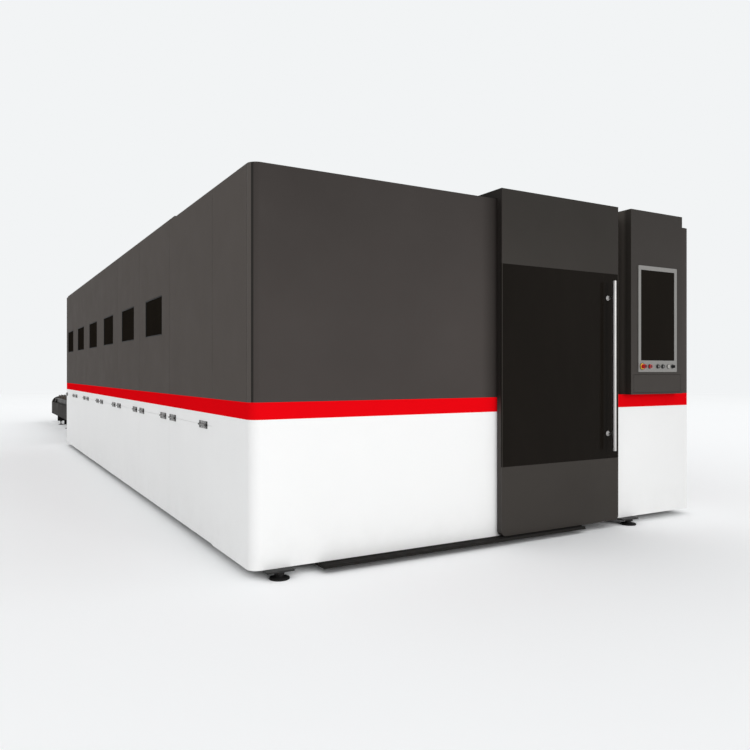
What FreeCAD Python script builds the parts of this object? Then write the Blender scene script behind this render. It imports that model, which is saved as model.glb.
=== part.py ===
import FreeCAD, Part
import math
import os

# Enclosed laser cutting machine with a sliding front door, an operator console and an exchange table behind
# it. Millimetres. X runs along the front from left to right, Y from the front wall to the rear, Z up.
# The sizes below count X from the middle of the enclosure and Y from its front face.
# At the end everything moves so that the origin is under the middle of the whole machine.

Vector = FreeCAD.Vector

# ---- enclosure -------------------------------------------------------------------------------------------
shell_width = 3826.0          # outer width of the enclosure
corner_bay = 720.0            # plain corner piece of a side wall, from the front face
bay_pitch = 1124.0            # length of one side bay
bay_count = 7
wall_bottom = 50.0            # lower edge of every wall
band_bottom = 903.0
band_height = 99.0
roof_height = 2364.0
corner_radius = 62.0          # vertical corners of the enclosure
side_depth = 40.0             # depth of the folded side walls
front_depth = 100.0           # depth of the folded front walls
rear_depth = 100.0            # depth of the folded rear walls
skin = 3.0                    # sheet metal
seam_width = 3.0
seam_depth = 1.5
roof_depth = 40.0
roof_ribs = 6

# windows of the left wall
window_width = 620.0
window_bottom = 1479.0
window_height = 326.0
window_first_bay = 1          # the first of the bays has no window
window_rim = 12.0
pane_thickness = 6.0
pane_setback = 7.0

# ---- access flaps of the left wall -----------------------------------------------------------------------
flap_depth = 30.0
flap_gap = 1.2                # gap all round a flap
flap_floor_gap = 6.0          # how much higher than the wall a flap ends
hinge_height = 822.0          # pin line of the flaps
hinge_standoff = 8.0          # pin line in front of the wall
hinge_radius = 7.4            # reach of the square knuckles from the pin line
hinge_leaf = 24.0             # how far a hinge leaf reaches above or below the pin line
hinge_leaf_thickness = 5.0
hinge_knuckle = 108.0         # length of the middle knuckle
hinge_end_knuckle = 36.0      # length of each outer knuckle
hinge_play = 0.6              # gap between knuckles
hinge_front_offset = 195.0    # hinge from the front seam of its bay
hinge_rear_offset = 110.0     # hinge from the rear seam of its bay

# ---- front door ------------------------------------------------------------------------------------------
opening_inset = 54.0          # left edge of the leaf to the door opening behind it
opening_width = 1030.0
opening_bottom = 112.0
lintel_height = 164.0         # wall above the opening
door_width = 1139.0
door_thickness = 48.0
door_gap = 4.0                # leaf to front wall
door_bottom = 54.0
door_rise = 64.0              # leaf and hood above the roof
door_corner = 36.0            # rounded lower corners
glass_bottom = 526.0
glass_height = 1389.0
glass_thickness = 8.0
glass_overlap = 60.0          # leaf frame behind the glass
hood_reach = 208.0            # how far the hood runs back over the roof
hood_clearance = 4.0
handle_inset = 111.0          # axis of the handle from the right edge of the leaf
handle_radius = 14.5
handle_reach = 62.0           # axis of the handle in front of the glass
handle_bottom = 588.0
handle_height = 1266.0
handle_posts = (713.0, 1730.0)
post_radius = 8.0
post_base_radius = 20.0       # cones on the glass
post_tip_radius = 9.0
post_base = 13.0

# top track, rollers and bottom rail
track_line = 120.0            # track behind the front face
track_width = 14.0
track_height = 18.0
track_lead = 1136.0           # track to the left of the closed leaf
track_length = 2270.0
roller_radius = 18.0
roller_width = 20.0
roller_groove = 3.0
roller_play = 0.3
hanger_plate = 5.0
hanger_width = 70.0
hanger_inset = 225.0          # hanger from the edge of the leaf
rail_foot_gap = 173.5         # left foot plate to the left end of the rail
rail_inset = 382.0            # right end of the rail from the right edge of the leaf
rail_reach = 86.0             # rail in front of the front wall
rail_seat = 40.0              # part of the rail under the front wall
rail_thickness = 20.0
rail_groove_width = 14.0
rail_groove_depth = 10.0
shoe_width = 12.0             # guide shoes under the leaf
shoe_length = 60.0
shoe_depth = 12.0             # how far they reach below the leaf
shoe_offsets = (74.0, 650.0)  # shoes from the left edge of the leaf
sill_depth = 60.0

# ---- operator console ------------------------------------------------------------------------------------
console_margin = 190.0        # console to the right side of the enclosure
console_width = 602.0
console_proud = 66.0
console_rise = 64.0           # console above the roof
recess_width = 125.0          # recess between door and console
recess_depth = 60.0
bezel_inset = 78.0            # bezel from the left side of the console
bezel_width = 451.0
bezel_bottom = 1175.0
bezel_height = 826.0
bezel_thickness = 6.0
bezel_corner = 8.0
screen_inset = 28.0           # screen from the left side of the bezel
screen_width = 392.0
screen_bottom = 1265.0
screen_height = 703.0
screen_setback = 2.5
screen_thickness = 30.0
screen_gap = 0.3
button_line = 1219.0          # height of the row of buttons
button_gap = 0.3
stop_at = 41.0                # buttons from the left side of the bezel
red_button_at = 126.0
ring_button_at = (221.0, 279.0)
pale_button_at = 345.0
key_at = 396.0
stop_collar_radius = 23.0
stop_collar = 3.0
stop_radius = 17.0
stop_length = 26.0
stop_travel = 5.0
push_radius = 14.0
push_proud = 4.0
ring_proud = 9.0
red_proud = 14.0
ring_radius = 7.7             # shallow dish in a ring button
ring_dish = 1.0
push_travel = 3.0
stem_width = 11.0             # square stems of the buttons
key_barrel_radius = 12.0
key_stem_width = 8.0
key_bow = 22.0
key_bow_thickness = 4.0
button_tail = 20.0            # stem of a button behind the bezel
button_hole_gap = 2.0         # stem to the sheet of the housing
drawer_inset = 31.0           # drawer from the left side of the console
drawer_width = 550.0
drawer_bottom = 1016.0
drawer_height = 137.0
drawer_front = 16.0
drawer_gap = 2.0
tray_inset = 12.0
tray_length = 215.0
tray_height = 60.0
tray_sheet = 2.0
runner_width = 50.0
runner_sheet = 3.0
runner_play = 0.3

# ---- bed -------------------------------------------------------------------------------------------------
aisle_width = 626.0           # room for the boxes between the bed and the right wall
beam_width = 240.0
beam_top = 900.0
beam_wall = 12.0
beam_hole_length = 700.0      # windows in the beams, one in each bay
beam_hole_bottom = 260.0
beam_hole_height = 360.0
cross_count = 8
cross_width = 120.0
cross_first = 900.0
cross_pitch = 1050.0
foot_plate_width = 165.0
foot_plate_reach = 61.0       # foot plate in front of the front wall
foot_plate_length = 320.0
foot_plate = 10.0
foot_disc_radius = 59.0
foot_disc = 12.0
foot_stem_radius = 25.0
foot_line = 33.0              # front feet in front of the front wall
pad_width = 110.0             # levelling pads under the beams
pad_length = 150.0
pad_places = (2400.0, 4500.0, 6600.0, 8300.0)
slag_tray_depth = 45.0        # trays hung between the cross members
slag_tray_sheet = 3.0
slag_tray_gap = 4.0
slag_tray_lip = 25.0          # lips that lie on the cross members

# ---- pallet tracks and exchange table --------------------------------------------------------------------
channel_gap = 80.0            # channel to the box beam beside it
channel_width = 60.0
channel_bottom = 198.0
channel_height = 270.0
channel_wall = 8.0
inner_track_start = 1880.0
track_end_gap = 70.0          # inner tracks to the table's channels
table_overlap = 88.0          # part of the table's channels that is inside the rear port
table_length = 6200.0
dock_width = 100.0            # plates that bolt the table to the rear wall
dock_thickness = 10.0
table_leg_count = 4
table_leg_width = 130.0
table_leg_depth = 70.0
table_leg_bottom = 88.0
table_leg_first = 1170.0      # first leg behind the start of the table
table_leg_pitch = 1250.0
table_cross_height = 80.0
table_disc_radius = 50.0
table_disc = 12.0
table_stem_radius = 16.0
hoop_height = 125.0           # hoop above the channels
hoop_band = 60.0
hoop_thickness = 40.0
hoop_corner = 150.0

# ---- pallets ---------------------------------------------------------------------------------------------
pallet_length = 6000.0
pallet_side_gap = 5.0         # pallet frame to the channels
inner_pallet_inset = 170.0    # pallet from the start of its track
outer_pallet_inset = 155.0    # pallet from the start of the table
pallet_bar_width = 60.0
pallet_bar_height = 80.0
pallet_underside = 15.0       # frame above the running face
ledge_width = 30.0
ledge_height = 60.0           # top of the slat ledges above the running face
ledge_thickness = 6.0
wheel_radius = 45.0
wheel_width = 30.0
wheel_axle = 24.0             # square axle stubs
wheel_count = 3               # on each side
wheel_first = 400.0
slat_pitch = 150.0
slat_thickness = 6.0
slat_height = 117.0
slat_end_gap = 4.0

# ---- gantry ----------------------------------------------------------------------------------------------
guide_width = 34.0            # guide rails on the bed
guide_height = 30.0
guide_start = 400.0
guide_rear_gap = 108.0        # end of the guide rails to the rear face of the enclosure
gear_rack_width = 28.0
gear_rack_height = 28.0
gear_rack_offset = 70.0       # from the guide rail towards the middle of the bed
gantry_line = 1600.0          # parked gantry, middle of its beam
running_gap = 0.3
carriage_width = 200.0
carriage_length = 440.0
carriage_height = 190.0
gantry_depth = 260.0
gantry_height = 340.0
gantry_chamfer = 60.0
gantry_wall = 14.0
cross_rail_size = 25.0
cross_rail_heights = (60.0, 255.0)
cross_rail_end = 150.0        # rails end this far inside the beam ends
head_plate_width = 320.0
head_plate = 26.0
head_plate_drop = 40.0        # carriage plate below the beam
head_shoe = 12.0              # shoes above and below each cross rail
head_slide_width = 150.0
head_slide_depth = 110.0
head_slide_height = 720.0
head_drop = 160.0             # parked slide below the lower edge of its carriage plate
slide_gap = 0.4
barrel_radius = 36.0
barrel_length = 110.0
cone_length = 60.0
nozzle_radius = 9.0

# ---- rear port and shutter -------------------------------------------------------------------------------
port_gap = 20.0               # channels to the sides of the port
port_top = 860.0
shutter_thickness = 40.0
shutter_bottom = 172.0        # lower edge of the closed shutter
shutter_height = 730.0
shutter_lift = 700.0          # the shutter stands raised, so that the pallets can pass
shutter_overlap = 30.0        # shutter beyond the port at each side
shutter_play = 0.8
guide_channel_width = 32.0
guide_channel_sheet = 4.0
guide_channel_bottom = 150.0
guide_channel_height = 1500.0

# ---- things behind the console, and roof -----------------------------------------------------------------
cabinet_width = 500.0
cabinet_length = 1200.0
cabinet_height = 1800.0
cabinet_start = 800.0
cabinet_side_gap = 40.0       # cabinet to the inner face of the right wall
source_width = 480.0
source_length = 1500.0
source_height = 1050.0
source_start = 2700.0
cover_start = 1700.0
cover_rear_gap = 188.0        # end of the cover to the rear face of the enclosure
cover_height = 14.0
cover_margin = 4.0
lug_inset = 56.0              # lifting lugs from the sides of the cover
lug_length = 60.0
lug_height = 40.0
lug_thickness = 12.0
lug_hole_radius = 10.0

# ---- derived places --------------------------------------------------------------------------------------
half_width = shell_width / 2
shell_length = corner_bay + bay_count * bay_pitch
seams = [corner_bay + bay_pitch * i for i in range(bay_count + 1)]
band_top = band_bottom + band_height
console_left = half_width - console_margin - console_width
console_right = console_left + console_width
console_top = roof_height + console_rise
recess_left = console_left - recess_width
bezel_left = console_left + bezel_inset
screen_left = bezel_left + screen_inset
drawer_left = console_left + drawer_inset
button_places = [bezel_left + at for at in (stop_at, red_button_at, *ring_button_at, pale_button_at, key_at)]
door_right = recess_left
door_left = door_right - door_width
door_top = roof_height + door_rise
door_front = -door_gap - door_thickness
opening_left = door_left + opening_inset
opening_right = opening_left + opening_width
opening_top = roof_height - lintel_height
handle_centre = door_right - handle_inset
handle_line = door_front - handle_reach
track_left = door_left - track_lead
track_top = roof_height + track_height
rail_right = door_right - rail_inset
hinge_line = -half_width - hinge_standoff
bed_half_span = (shell_width - 2 * side_depth - aisle_width - beam_width) / 2
bed_middle = -half_width + side_depth + beam_width / 2 + bed_half_span
rail_left = bed_middle - bed_half_span + foot_plate_width / 2 + rail_foot_gap
channel_outer = bed_half_span - beam_width / 2 - channel_gap
port_half_width = channel_outer + port_gap
table_start = shell_length - table_overlap
table_end = table_start + table_length
inner_track_length = table_start - track_end_gap - inner_track_start
inner_pallet_start = inner_track_start + inner_pallet_inset
outer_pallet_start = table_start + outer_pallet_inset
guide_length = shell_length - guide_rear_gap - guide_start
cover_length = shell_length - cover_rear_gap - cover_start
inner_rail_top = channel_bottom + channel_wall
upper_rail_top = channel_bottom + channel_height
left_reach = half_width + hinge_standoff + hinge_radius
origin_x = (half_width - left_reach) / 2
origin_y = (handle_line - handle_radius + table_end) / 2

nodes = {}


def keep(name, *solids):
    """Store one node, made of one solid or of several separate ones."""
    nodes.setdefault(name, []).extend(solids)


def box(x0, x1, y0, y1, z0, z1):
    return Part.makeBox(x1 - x0, y1 - y0, z1 - z0, Vector(x0, y0, z0))


def joined(first, *others):
    return first.fuse(list(others)).removeSplitter() if others else first


def rod(x, y, z, radius, length, axis):
    return Part.makeCylinder(radius, length, Vector(x, y, z), axis)


def prism(points, along):
    """Extrude a closed outline of straight edges."""
    wire = Part.makePolygon([*points, points[0]])
    return Part.Face(wire).extrude(along)


def rounded_plate(x0, x1, y0, y1, z0, z1, radius, at=("low", "high")):
    """Upright plate across Y whose low or high corners, or all four, are rounded when seen from the front."""
    plate = box(x0, x1, y0, y1, z0, z1)
    corners = []
    for edge in plate.Edges:
        a, b = (v.Point for v in edge.Vertexes)
        runs_back = abs(a.x - b.x) < 0.01 and abs(a.z - b.z) < 0.01
        if runs_back and ("low" if a.z < z0 + 0.01 else "high") in at:
            corners.append(edge)
    return plate.makeFillet(radius, corners)


# Each face of the enclosure turns (along, depth, height) into a block: depth counts inwards from its outside.
def on_front(a0, a1, d0, d1, z0, z1):
    return box(a0, a1, d0, d1, z0, z1)


def on_rear(a0, a1, d0, d1, z0, z1):
    return box(a0, a1, shell_length - d1, shell_length - d0, z0, z1)


def on_left(a0, a1, d0, d1, z0, z1):
    return box(-half_width + d0, -half_width + d1, a0, a1, z0, z1)


def on_right(a0, a1, d0, d1, z0, z1):
    return box(half_width - d1, half_width - d0, a0, a1, z0, z1)


def folded_wall(face, start, end, low, high, depth, ribs=()):
    """Sheet wall with flanges folded inwards, a double flange at each seam and a fine groove outside it."""
    wall = face(start, end, 0, depth, low, high)
    marks = [start, *ribs, end]
    cuts = []
    for a, b in zip(marks, marks[1:]):
        cuts.append(face(a + skin, b - skin, skin, depth, low + skin, high - skin))
    for seam in ribs:
        cuts.append(face(seam - seam_width / 2, seam + seam_width / 2, 0, seam_depth, low, high))
    return wall.cut(cuts)


def corner_plan(side, end, inset, depth, from_front):
    """Plan outline of a wall with its rounded corner, `inset` inside the outer face."""
    r = corner_radius
    arc_middle = r - (r - inset) * math.sqrt(0.5)

    def at(across, back):
        x = side * (half_width - across)
        return Vector(x, back if from_front else shell_length - back, 0)

    far = half_width - side * end - inset
    near = side_depth + inset
    corners = [at(r, inset), at(far, inset), at(far, depth), at(near, depth), at(near, r), at(inset, r)]
    edges = [Part.Arc(at(inset, r), at(arc_middle, arc_middle), at(r, inset)).toShape()]
    for a, b in zip(corners, corners[1:]):
        edges.append(Part.makeLine(a, b))
    return Part.Face(Part.Wire(edges))


def corner_wall(side, end, low, high, from_front=True, depth=front_depth):
    """Folded wall across the front or rear that turns the rounded corner at `side` and ends at X = `end`."""
    outer = corner_plan(side, end, 0, depth, from_front)
    inner = corner_plan(side, end, skin, depth, from_front)
    body = outer.extrude(Vector(0, 0, high - low))
    pocket = inner.extrude(Vector(0, 0, high - low - 2 * skin))
    body.translate(Vector(0, 0, low))
    pocket.translate(Vector(0, 0, low + skin))
    return body.cut(pocket)


# ---- side walls ------------------------------------------------------------------------------------------
def window_spans():
    half = window_width / 2
    for i in range(window_first_bay, bay_count):
        middle = seams[i] + bay_pitch / 2
        yield middle - half, middle + half


def make_side_walls():
    start, end = corner_radius, shell_length - corner_radius
    upper_start, upper_end = start + seam_width, end - seam_width
    ribs = seams[:-1]
    left = folded_wall(on_left, upper_start, upper_end, band_top, roof_height, side_depth, ribs)
    window_top = window_bottom + window_height
    rim_back = pane_setback + pane_thickness + window_rim
    for a, b in window_spans():
        rim = on_left(a - skin, b + skin, skin, rim_back, window_bottom - skin, window_top + skin)
        hole = on_left(a, b, 0, rim_back, window_bottom, window_top)
        left = left.fuse(rim).cut(hole)
        pane = on_left(a, b, pane_setback, pane_setback + pane_thickness, window_bottom, window_top)
        keep("window_panes", pane)
    keep("left_upper_wall", left)
    right = folded_wall(on_right, upper_start, upper_end, band_top, roof_height, side_depth, ribs)
    keep("right_upper_wall", right)
    keep("right_lower_wall", folded_wall(on_right, start, end, wall_bottom, band_bottom, side_depth, ribs))
    for face in (on_left, on_right):
        keep("red_bands", folded_wall(face, start, end, band_bottom, band_top, side_depth))


# ---- flaps and their hinges ------------------------------------------------------------------------------
def hinge_places(bay):
    return seams[bay] + hinge_front_offset, seams[bay + 1] - hinge_rear_offset


def hinge_part(middle, fixed):
    """Half a butt hinge: the upper leaf with the outer knuckles, or the lower leaf with the middle one."""
    r, up = hinge_radius, 1 if fixed else -1
    seat, face = -hinge_standoff, hinge_leaf_thickness - hinge_standoff
    outline = [(seat, hinge_leaf), (face, hinge_leaf), (face, 0.7 * r), (0.7 * r, 0.7 * r),
               (0.7 * r, -0.7 * r), (-0.7 * r, -0.7 * r), (seat, flap_gap / 2)]
    half = hinge_knuckle / 2
    reach = half + hinge_end_knuckle
    low, high = sorted((up * (r + hinge_play), up * hinge_leaf))
    parts = [box(hinge_line - face, hinge_line - seat, middle - reach, middle + reach, hinge_height + low,
                 hinge_height + high)]
    spans = ((-reach, -half - hinge_play), (half + hinge_play, reach)) if fixed else ((-half, half),)
    for start, end in spans:
        points = [Vector(hinge_line - out, middle + start, hinge_height + up * z) for out, z in outline]
        parts.append(prism(points, Vector(0, end - start, 0)))
    return parts


def make_left_lower():
    header_low = hinge_height + flap_gap / 2
    corner = folded_wall(on_left, corner_radius, corner_bay, wall_bottom, band_bottom, side_depth)
    header = on_left(corner_bay, shell_length - corner_radius, 0, side_depth, header_low, band_bottom)
    pocket_low, pocket_high = header_low + skin, band_bottom - skin
    pocket_end = shell_length - corner_radius - skin
    pocket = on_left(corner_bay, pocket_end, skin, side_depth, pocket_low, pocket_high)
    knuckles = []
    for bay in range(bay_count):
        for middle in hinge_places(bay):
            knuckles += hinge_part(middle, True)
    keep("left_lower_frame", corner, joined(header.cut(pocket), *knuckles))


def make_flap(bay):
    start = seams[bay] + flap_gap / 2
    end = seams[bay + 1] - flap_gap / 2
    if bay == bay_count - 1:
        end = shell_length - corner_radius - flap_gap
    low = wall_bottom + flap_floor_gap
    high = hinge_height - flap_gap / 2
    panel = folded_wall(on_left, start, end, low, high, flap_depth)
    for middle in hinge_places(bay):
        panel = joined(panel, *hinge_part(middle, False))
    keep(f"access_flap_{bay + 1}", panel)


# ---- front wall, rear wall and roof ----------------------------------------------------------------------
def make_front_walls():
    keep("front_left_lower_panel", corner_wall(-1, opening_left, wall_bottom, band_bottom))
    keep("front_left_upper_panel", corner_wall(-1, opening_left, band_top, roof_height))
    keep("front_right_lower_panel", corner_wall(1, opening_right, wall_bottom, band_bottom))
    keep("red_bands", corner_wall(-1, opening_left, band_bottom, band_top))
    keep("red_bands", corner_wall(1, opening_right, band_bottom, band_top))

    # right of the door the wall steps back into a recess, and behind the console it is open
    jamb = folded_wall(on_front, opening_right, recess_left, band_top, roof_height, front_depth)
    back = on_front(recess_left, console_left, recess_depth, front_depth, band_top, roof_height)
    hollow = on_front(recess_left, console_left - skin, recess_depth + skin, front_depth, band_top + skin,
                      roof_height - skin)
    wing = corner_wall(1, console_right, band_top, roof_height)
    keep("front_right_upper_panel", joined(jamb, back.cut(hollow)), wing)

    lintel = folded_wall(on_front, opening_left, opening_right, opening_top, roof_height, front_depth)
    keep("door_frame", lintel)


def make_rear_walls():
    port_left, port_right = bed_middle - port_half_width, bed_middle + port_half_width
    for side, end in ((-1, port_left), (1, port_right)):
        keep("rear_lower_panels", corner_wall(side, end, wall_bottom, band_bottom, False, rear_depth))
    head = folded_wall(on_rear, port_left, port_right, port_top, band_bottom, rear_depth)
    keep("rear_lower_panels", head)
    for low, high, name in ((band_bottom, band_top, "red_bands"), (band_top, roof_height, "rear_upper_wall")):
        halves = []
        for side in (-1, 1):
            halves.append(corner_wall(side, 0, low, high, False, rear_depth))
        keep(name, joined(*halves))


def make_roof():
    """Roof sheet between the walls, with ribs folded down, and the low cover on it."""
    x0, x1 = -half_width + side_depth, half_width - side_depth
    y0, y1 = front_depth, shell_length - rear_depth
    low = roof_height - roof_depth
    roof = box(x0, x1, y0, y1, low, roof_height)
    step = (y1 - y0) / roof_ribs
    pockets = []
    for i in range(roof_ribs):
        a, b = y0 + i * step + skin, y0 + (i + 1) * step - skin
        pockets.append(box(x0 + skin, x1 - skin, a, b, low, roof_height - skin))
    keep("roof_panel", roof.cut(pockets))

    top = roof_height + cover_height
    left, right = -half_width + cover_margin, half_width - cover_margin
    cover = box(left, right, cover_start, cover_start + cover_length, roof_height, top)
    under = box(left + skin, right - skin, cover_start + skin, cover_start + cover_length - skin,
                roof_height, top - skin)
    cover = cover.cut(under)
    lug_end = cover_start + lug_length
    eye_middle = cover_start + lug_length / 2
    eye_height = roof_height + lug_height / 2 + cover_height / 2
    for x in (left + lug_inset, right - lug_inset - lug_thickness):
        lug = box(x, x + lug_thickness, cover_start, lug_end, roof_height, roof_height + lug_height)
        eye = rod(x - 1, eye_middle, eye_height, lug_hole_radius, lug_thickness + 2, Vector(1, 0, 0))
        cover = cover.fuse(lug).cut(eye)
    keep("roof_cover", cover)


# ---- sliding door ----------------------------------------------------------------------------------------
def make_door():
    back = -door_gap
    glass_top = glass_bottom + glass_height
    glass_back = door_front + glass_thickness
    leaf = rounded_plate(door_left, door_right, door_front, back, door_bottom, door_top, door_corner,
                         ("low",))
    hollow = rounded_plate(door_left + skin, door_right - skin, door_front + skin, back, door_bottom + skin,
                           door_top - skin, door_corner - skin, ("low",))
    seat = box(door_left, door_right, door_front, glass_back + skin, glass_bottom - skin, glass_top + skin)
    rebate = box(door_left, door_right, door_front, glass_back, glass_bottom, glass_top)
    sight_left, sight_right = door_left + glass_overlap, door_right - glass_overlap
    sight_low, sight_high = glass_bottom + glass_overlap, glass_top - glass_overlap
    sight = box(sight_left, sight_right, door_front, back, sight_low, sight_high)
    leaf = leaf.cut(hollow).fuse(seat).cut([rebate, sight])
    shoe_front = door_front + (door_thickness - shoe_width) / 2
    for offset in shoe_offsets:
        shoe_left = door_left + offset - shoe_length / 2
        shoe = box(shoe_left, shoe_left + shoe_length, shoe_front, shoe_front + shoe_width,
                   door_bottom - shoe_depth, door_bottom + skin)
        leaf = leaf.fuse(shoe)
    keep("door_leaf", leaf)
    keep("door_glass", box(door_left, door_right, door_front, glass_back, glass_bottom, glass_top))

    hood_low = roof_height + hood_clearance
    hood = box(door_left, door_right, back, hood_reach, hood_low, door_top)
    under = box(door_left + skin, door_right - skin, back, hood_reach - skin, hood_low, door_top - skin)
    notch_half = track_width / 2 + hood_clearance
    notch = box(door_left, door_right, track_line - notch_half, track_line + notch_half, hood_low,
                track_top + hood_clearance)
    keep("door_hood", hood.cut([under, notch]))

    bar = rod(handle_centre, handle_line, handle_bottom, handle_radius, handle_height, Vector(0, 0, 1))
    handle_parts = []
    for z in handle_posts:
        base = Part.makeCone(post_tip_radius, post_base_radius, post_base,
                             Vector(handle_centre, door_front - post_base, z), Vector(0, 1, 0))
        post = rod(handle_centre, handle_line, z, post_radius, handle_reach, Vector(0, 1, 0))
        handle_parts += [base, post]
    keep("door_handle", joined(bar, *handle_parts))


def make_door_track():
    """Track on the roof, rollers hung under the hood, and the rail that guides the foot of the leaf."""
    half = track_width / 2
    keep("door_track", box(track_left, track_left + track_length, track_line - half, track_line + half,
                           roof_height, track_top))
    plate_front = track_line + roller_width / 2
    plate_back = plate_front + hanger_plate
    hood_under = door_top - skin
    centre = track_top + roller_radius - roller_groove + roller_play
    rim, core = roller_width / 2, half + roller_play
    floor = roller_radius - roller_groove
    profile = [(0, -rim), (roller_radius, -rim), (roller_radius, -core), (floor, -core),
               (floor, core), (roller_radius, core), (roller_radius, rim), (0, rim)]
    for x in (door_left + hanger_inset, door_right - hanger_inset):
        points = [Vector(x, track_line + along, centre + out) for out, along in profile]
        outline = Part.Face(Part.makePolygon([*points, points[0]]))
        roller = outline.revolve(Vector(x, track_line, centre), Vector(0, 1, 0), 360)
        plate = box(x - hanger_width / 2, x + hanger_width / 2, plate_front, plate_back,
                    centre - roller_radius / 2, hood_under)
        foot = box(x - hanger_width / 2, x + hanger_width / 2, plate_back, plate_back + hanger_width / 2,
                   hood_under - hanger_plate, hood_under)
        keep("door_hangers", joined(roller, plate, foot))

    rail_top = wall_bottom
    rail = box(rail_left, rail_right, -rail_reach, rail_seat, rail_top - rail_thickness,
               rail_top)
    groove_middle = door_front + door_thickness / 2
    groove = box(rail_left, rail_right, groove_middle - rail_groove_width / 2,
                 groove_middle + rail_groove_width / 2, rail_top - rail_groove_depth, rail_top)
    sill = box(opening_left, opening_right, 0, sill_depth, rail_top, opening_bottom)
    sill_hollow = box(opening_left + skin, opening_right - skin, skin, sill_depth, rail_top,
                      opening_bottom - skin)
    keep("door_bottom_rail", rail.cut(groove))
    keep("door_frame", sill.cut(sill_hollow))


# ---- operator console ------------------------------------------------------------------------------------
def stem(x, y0, y1, width):
    """Square bar through the bezel on the row of buttons."""
    half = width / 2
    return box(x - half, x + half, y0, y1, button_line - half, button_line + half)


def make_console():
    front = -console_proud
    outer = box(console_left, console_right, front, front_depth, band_top, console_top)
    hood = box(console_left, console_right, front, hood_reach, roof_height, console_top)
    left_in, right_in = console_left + skin, console_right - skin
    inner = box(left_in, right_in, front + skin, front_depth, band_top + skin, console_top - skin)
    hood_inner = box(left_in, right_in, front + skin, hood_reach - skin, roof_height, console_top - skin)
    housing = joined(outer, hood).cut([inner, hood_inner])

    screen_right, screen_top = screen_left + screen_width, screen_bottom + screen_height
    window = box(screen_left, screen_right, front, front + skin, screen_bottom, screen_top)
    mouth = box(drawer_left - drawer_gap, drawer_left + drawer_width + drawer_gap, front, front + skin,
                drawer_bottom - drawer_gap, drawer_bottom + drawer_height + drawer_gap)
    holes = [window, mouth]
    for x in button_places:
        holes.append(stem(x, front, front + skin, stem_width + 2 * button_hole_gap))
    housing = housing.cut(holes)
    runner_top = drawer_bottom + tray_inset - runner_play
    right_runner = drawer_left + drawer_width - runner_width
    for x0, x1 in ((left_in, drawer_left + runner_width), (right_runner, right_in)):
        runner = box(x0, x1, front + drawer_front, front_depth, runner_top - runner_sheet, runner_top)
        housing = housing.fuse(runner)
    keep("console_housing", housing)

    face = front - bezel_thickness
    bezel = rounded_plate(bezel_left, bezel_left + bezel_width, face, front, bezel_bottom,
                          bezel_bottom + bezel_height, bezel_corner)
    cuts = [box(screen_left, screen_right, face, front, screen_bottom, screen_top)]
    for x in button_places:
        cuts.append(stem(x, face, front, stem_width + 2 * button_gap))
    keep("console_bezel", bezel.cut(cuts))
    stop_x = button_places[0]
    collar = rod(stop_x, face - stop_collar, button_line, stop_collar_radius, stop_collar, Vector(0, 1, 0))
    keep("stop_collar", collar.cut(stem(stop_x, face - stop_collar, face, stem_width + 2 * button_gap)))
    keep("console_screen", box(screen_left + screen_gap, screen_right - screen_gap, face + screen_setback,
                               face + screen_setback + screen_thickness, screen_bottom + screen_gap,
                               screen_top - screen_gap))
    make_buttons(face)
    make_drawer(front)


def make_buttons(face):
    along = Vector(0, 1, 0)
    tail_end = face + bezel_thickness + button_tail
    stop_x, red_x, ring_left_x, ring_right_x, pale_x, key_x = button_places
    stop_front = face - stop_collar - stop_travel - stop_length
    half_cap = stop_length / 2
    stop_tip = Vector(stop_x, stop_front, button_line)
    cap = Part.makeCone(stop_radius - 3, stop_radius, half_cap, stop_tip, along)
    brim = rod(stop_x, stop_front + half_cap, button_line, stop_radius, half_cap, along)
    neck = stem(stop_x, stop_front + stop_length, tail_end, stem_width)
    keep("emergency_stop", joined(cap, brim, neck))
    heads = {"red_button": (red_x, red_proud), "ring_button_left": (ring_left_x, ring_proud),
             "ring_button_right": (ring_right_x, ring_proud), "pale_button": (pale_x, push_proud)}
    for name, (x, proud) in heads.items():
        front = face - push_travel - proud
        head = rod(x, front, button_line, push_radius, proud, along)
        button = joined(head, stem(x, front + proud, tail_end, stem_width))
        if name.startswith("ring"):
            button = button.cut(rod(x, front, button_line, ring_radius, ring_dish, along))
        keep(name, button)
    barrel_back = face - button_gap
    barrel_front = barrel_back - push_proud
    barrel = rod(key_x, barrel_front, button_line, key_barrel_radius, push_proud, along)
    bow = box(key_x - key_bow_thickness / 2, key_x + key_bow_thickness / 2, barrel_front - key_bow,
              barrel_front, button_line - key_bow / 2, button_line + key_bow / 2)
    keep("key_switch", joined(barrel, bow, stem(key_x, barrel_back, tail_end, key_stem_width)))


def make_drawer(front):
    right = drawer_left + drawer_width
    panel = box(drawer_left, right, front, front + drawer_front, drawer_bottom, drawer_bottom + drawer_height)
    low = drawer_bottom + tray_inset
    start = front + drawer_front
    end = start + tray_length
    tray = box(drawer_left + tray_inset, right - tray_inset, start, end, low, low + tray_height)
    inside = box(drawer_left + tray_inset + tray_sheet, right - tray_inset - tray_sheet, start,
                 end - tray_sheet, low + tray_sheet, low + tray_height)
    keep("keyboard_drawer", joined(panel, tray.cut(inside)))


# ---- bed -------------------------------------------------------------------------------------------------
def beam_line(side):
    return bed_middle + side * bed_half_span


def cross_places():
    return [cross_first + i * cross_pitch for i in range(cross_count)]


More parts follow.
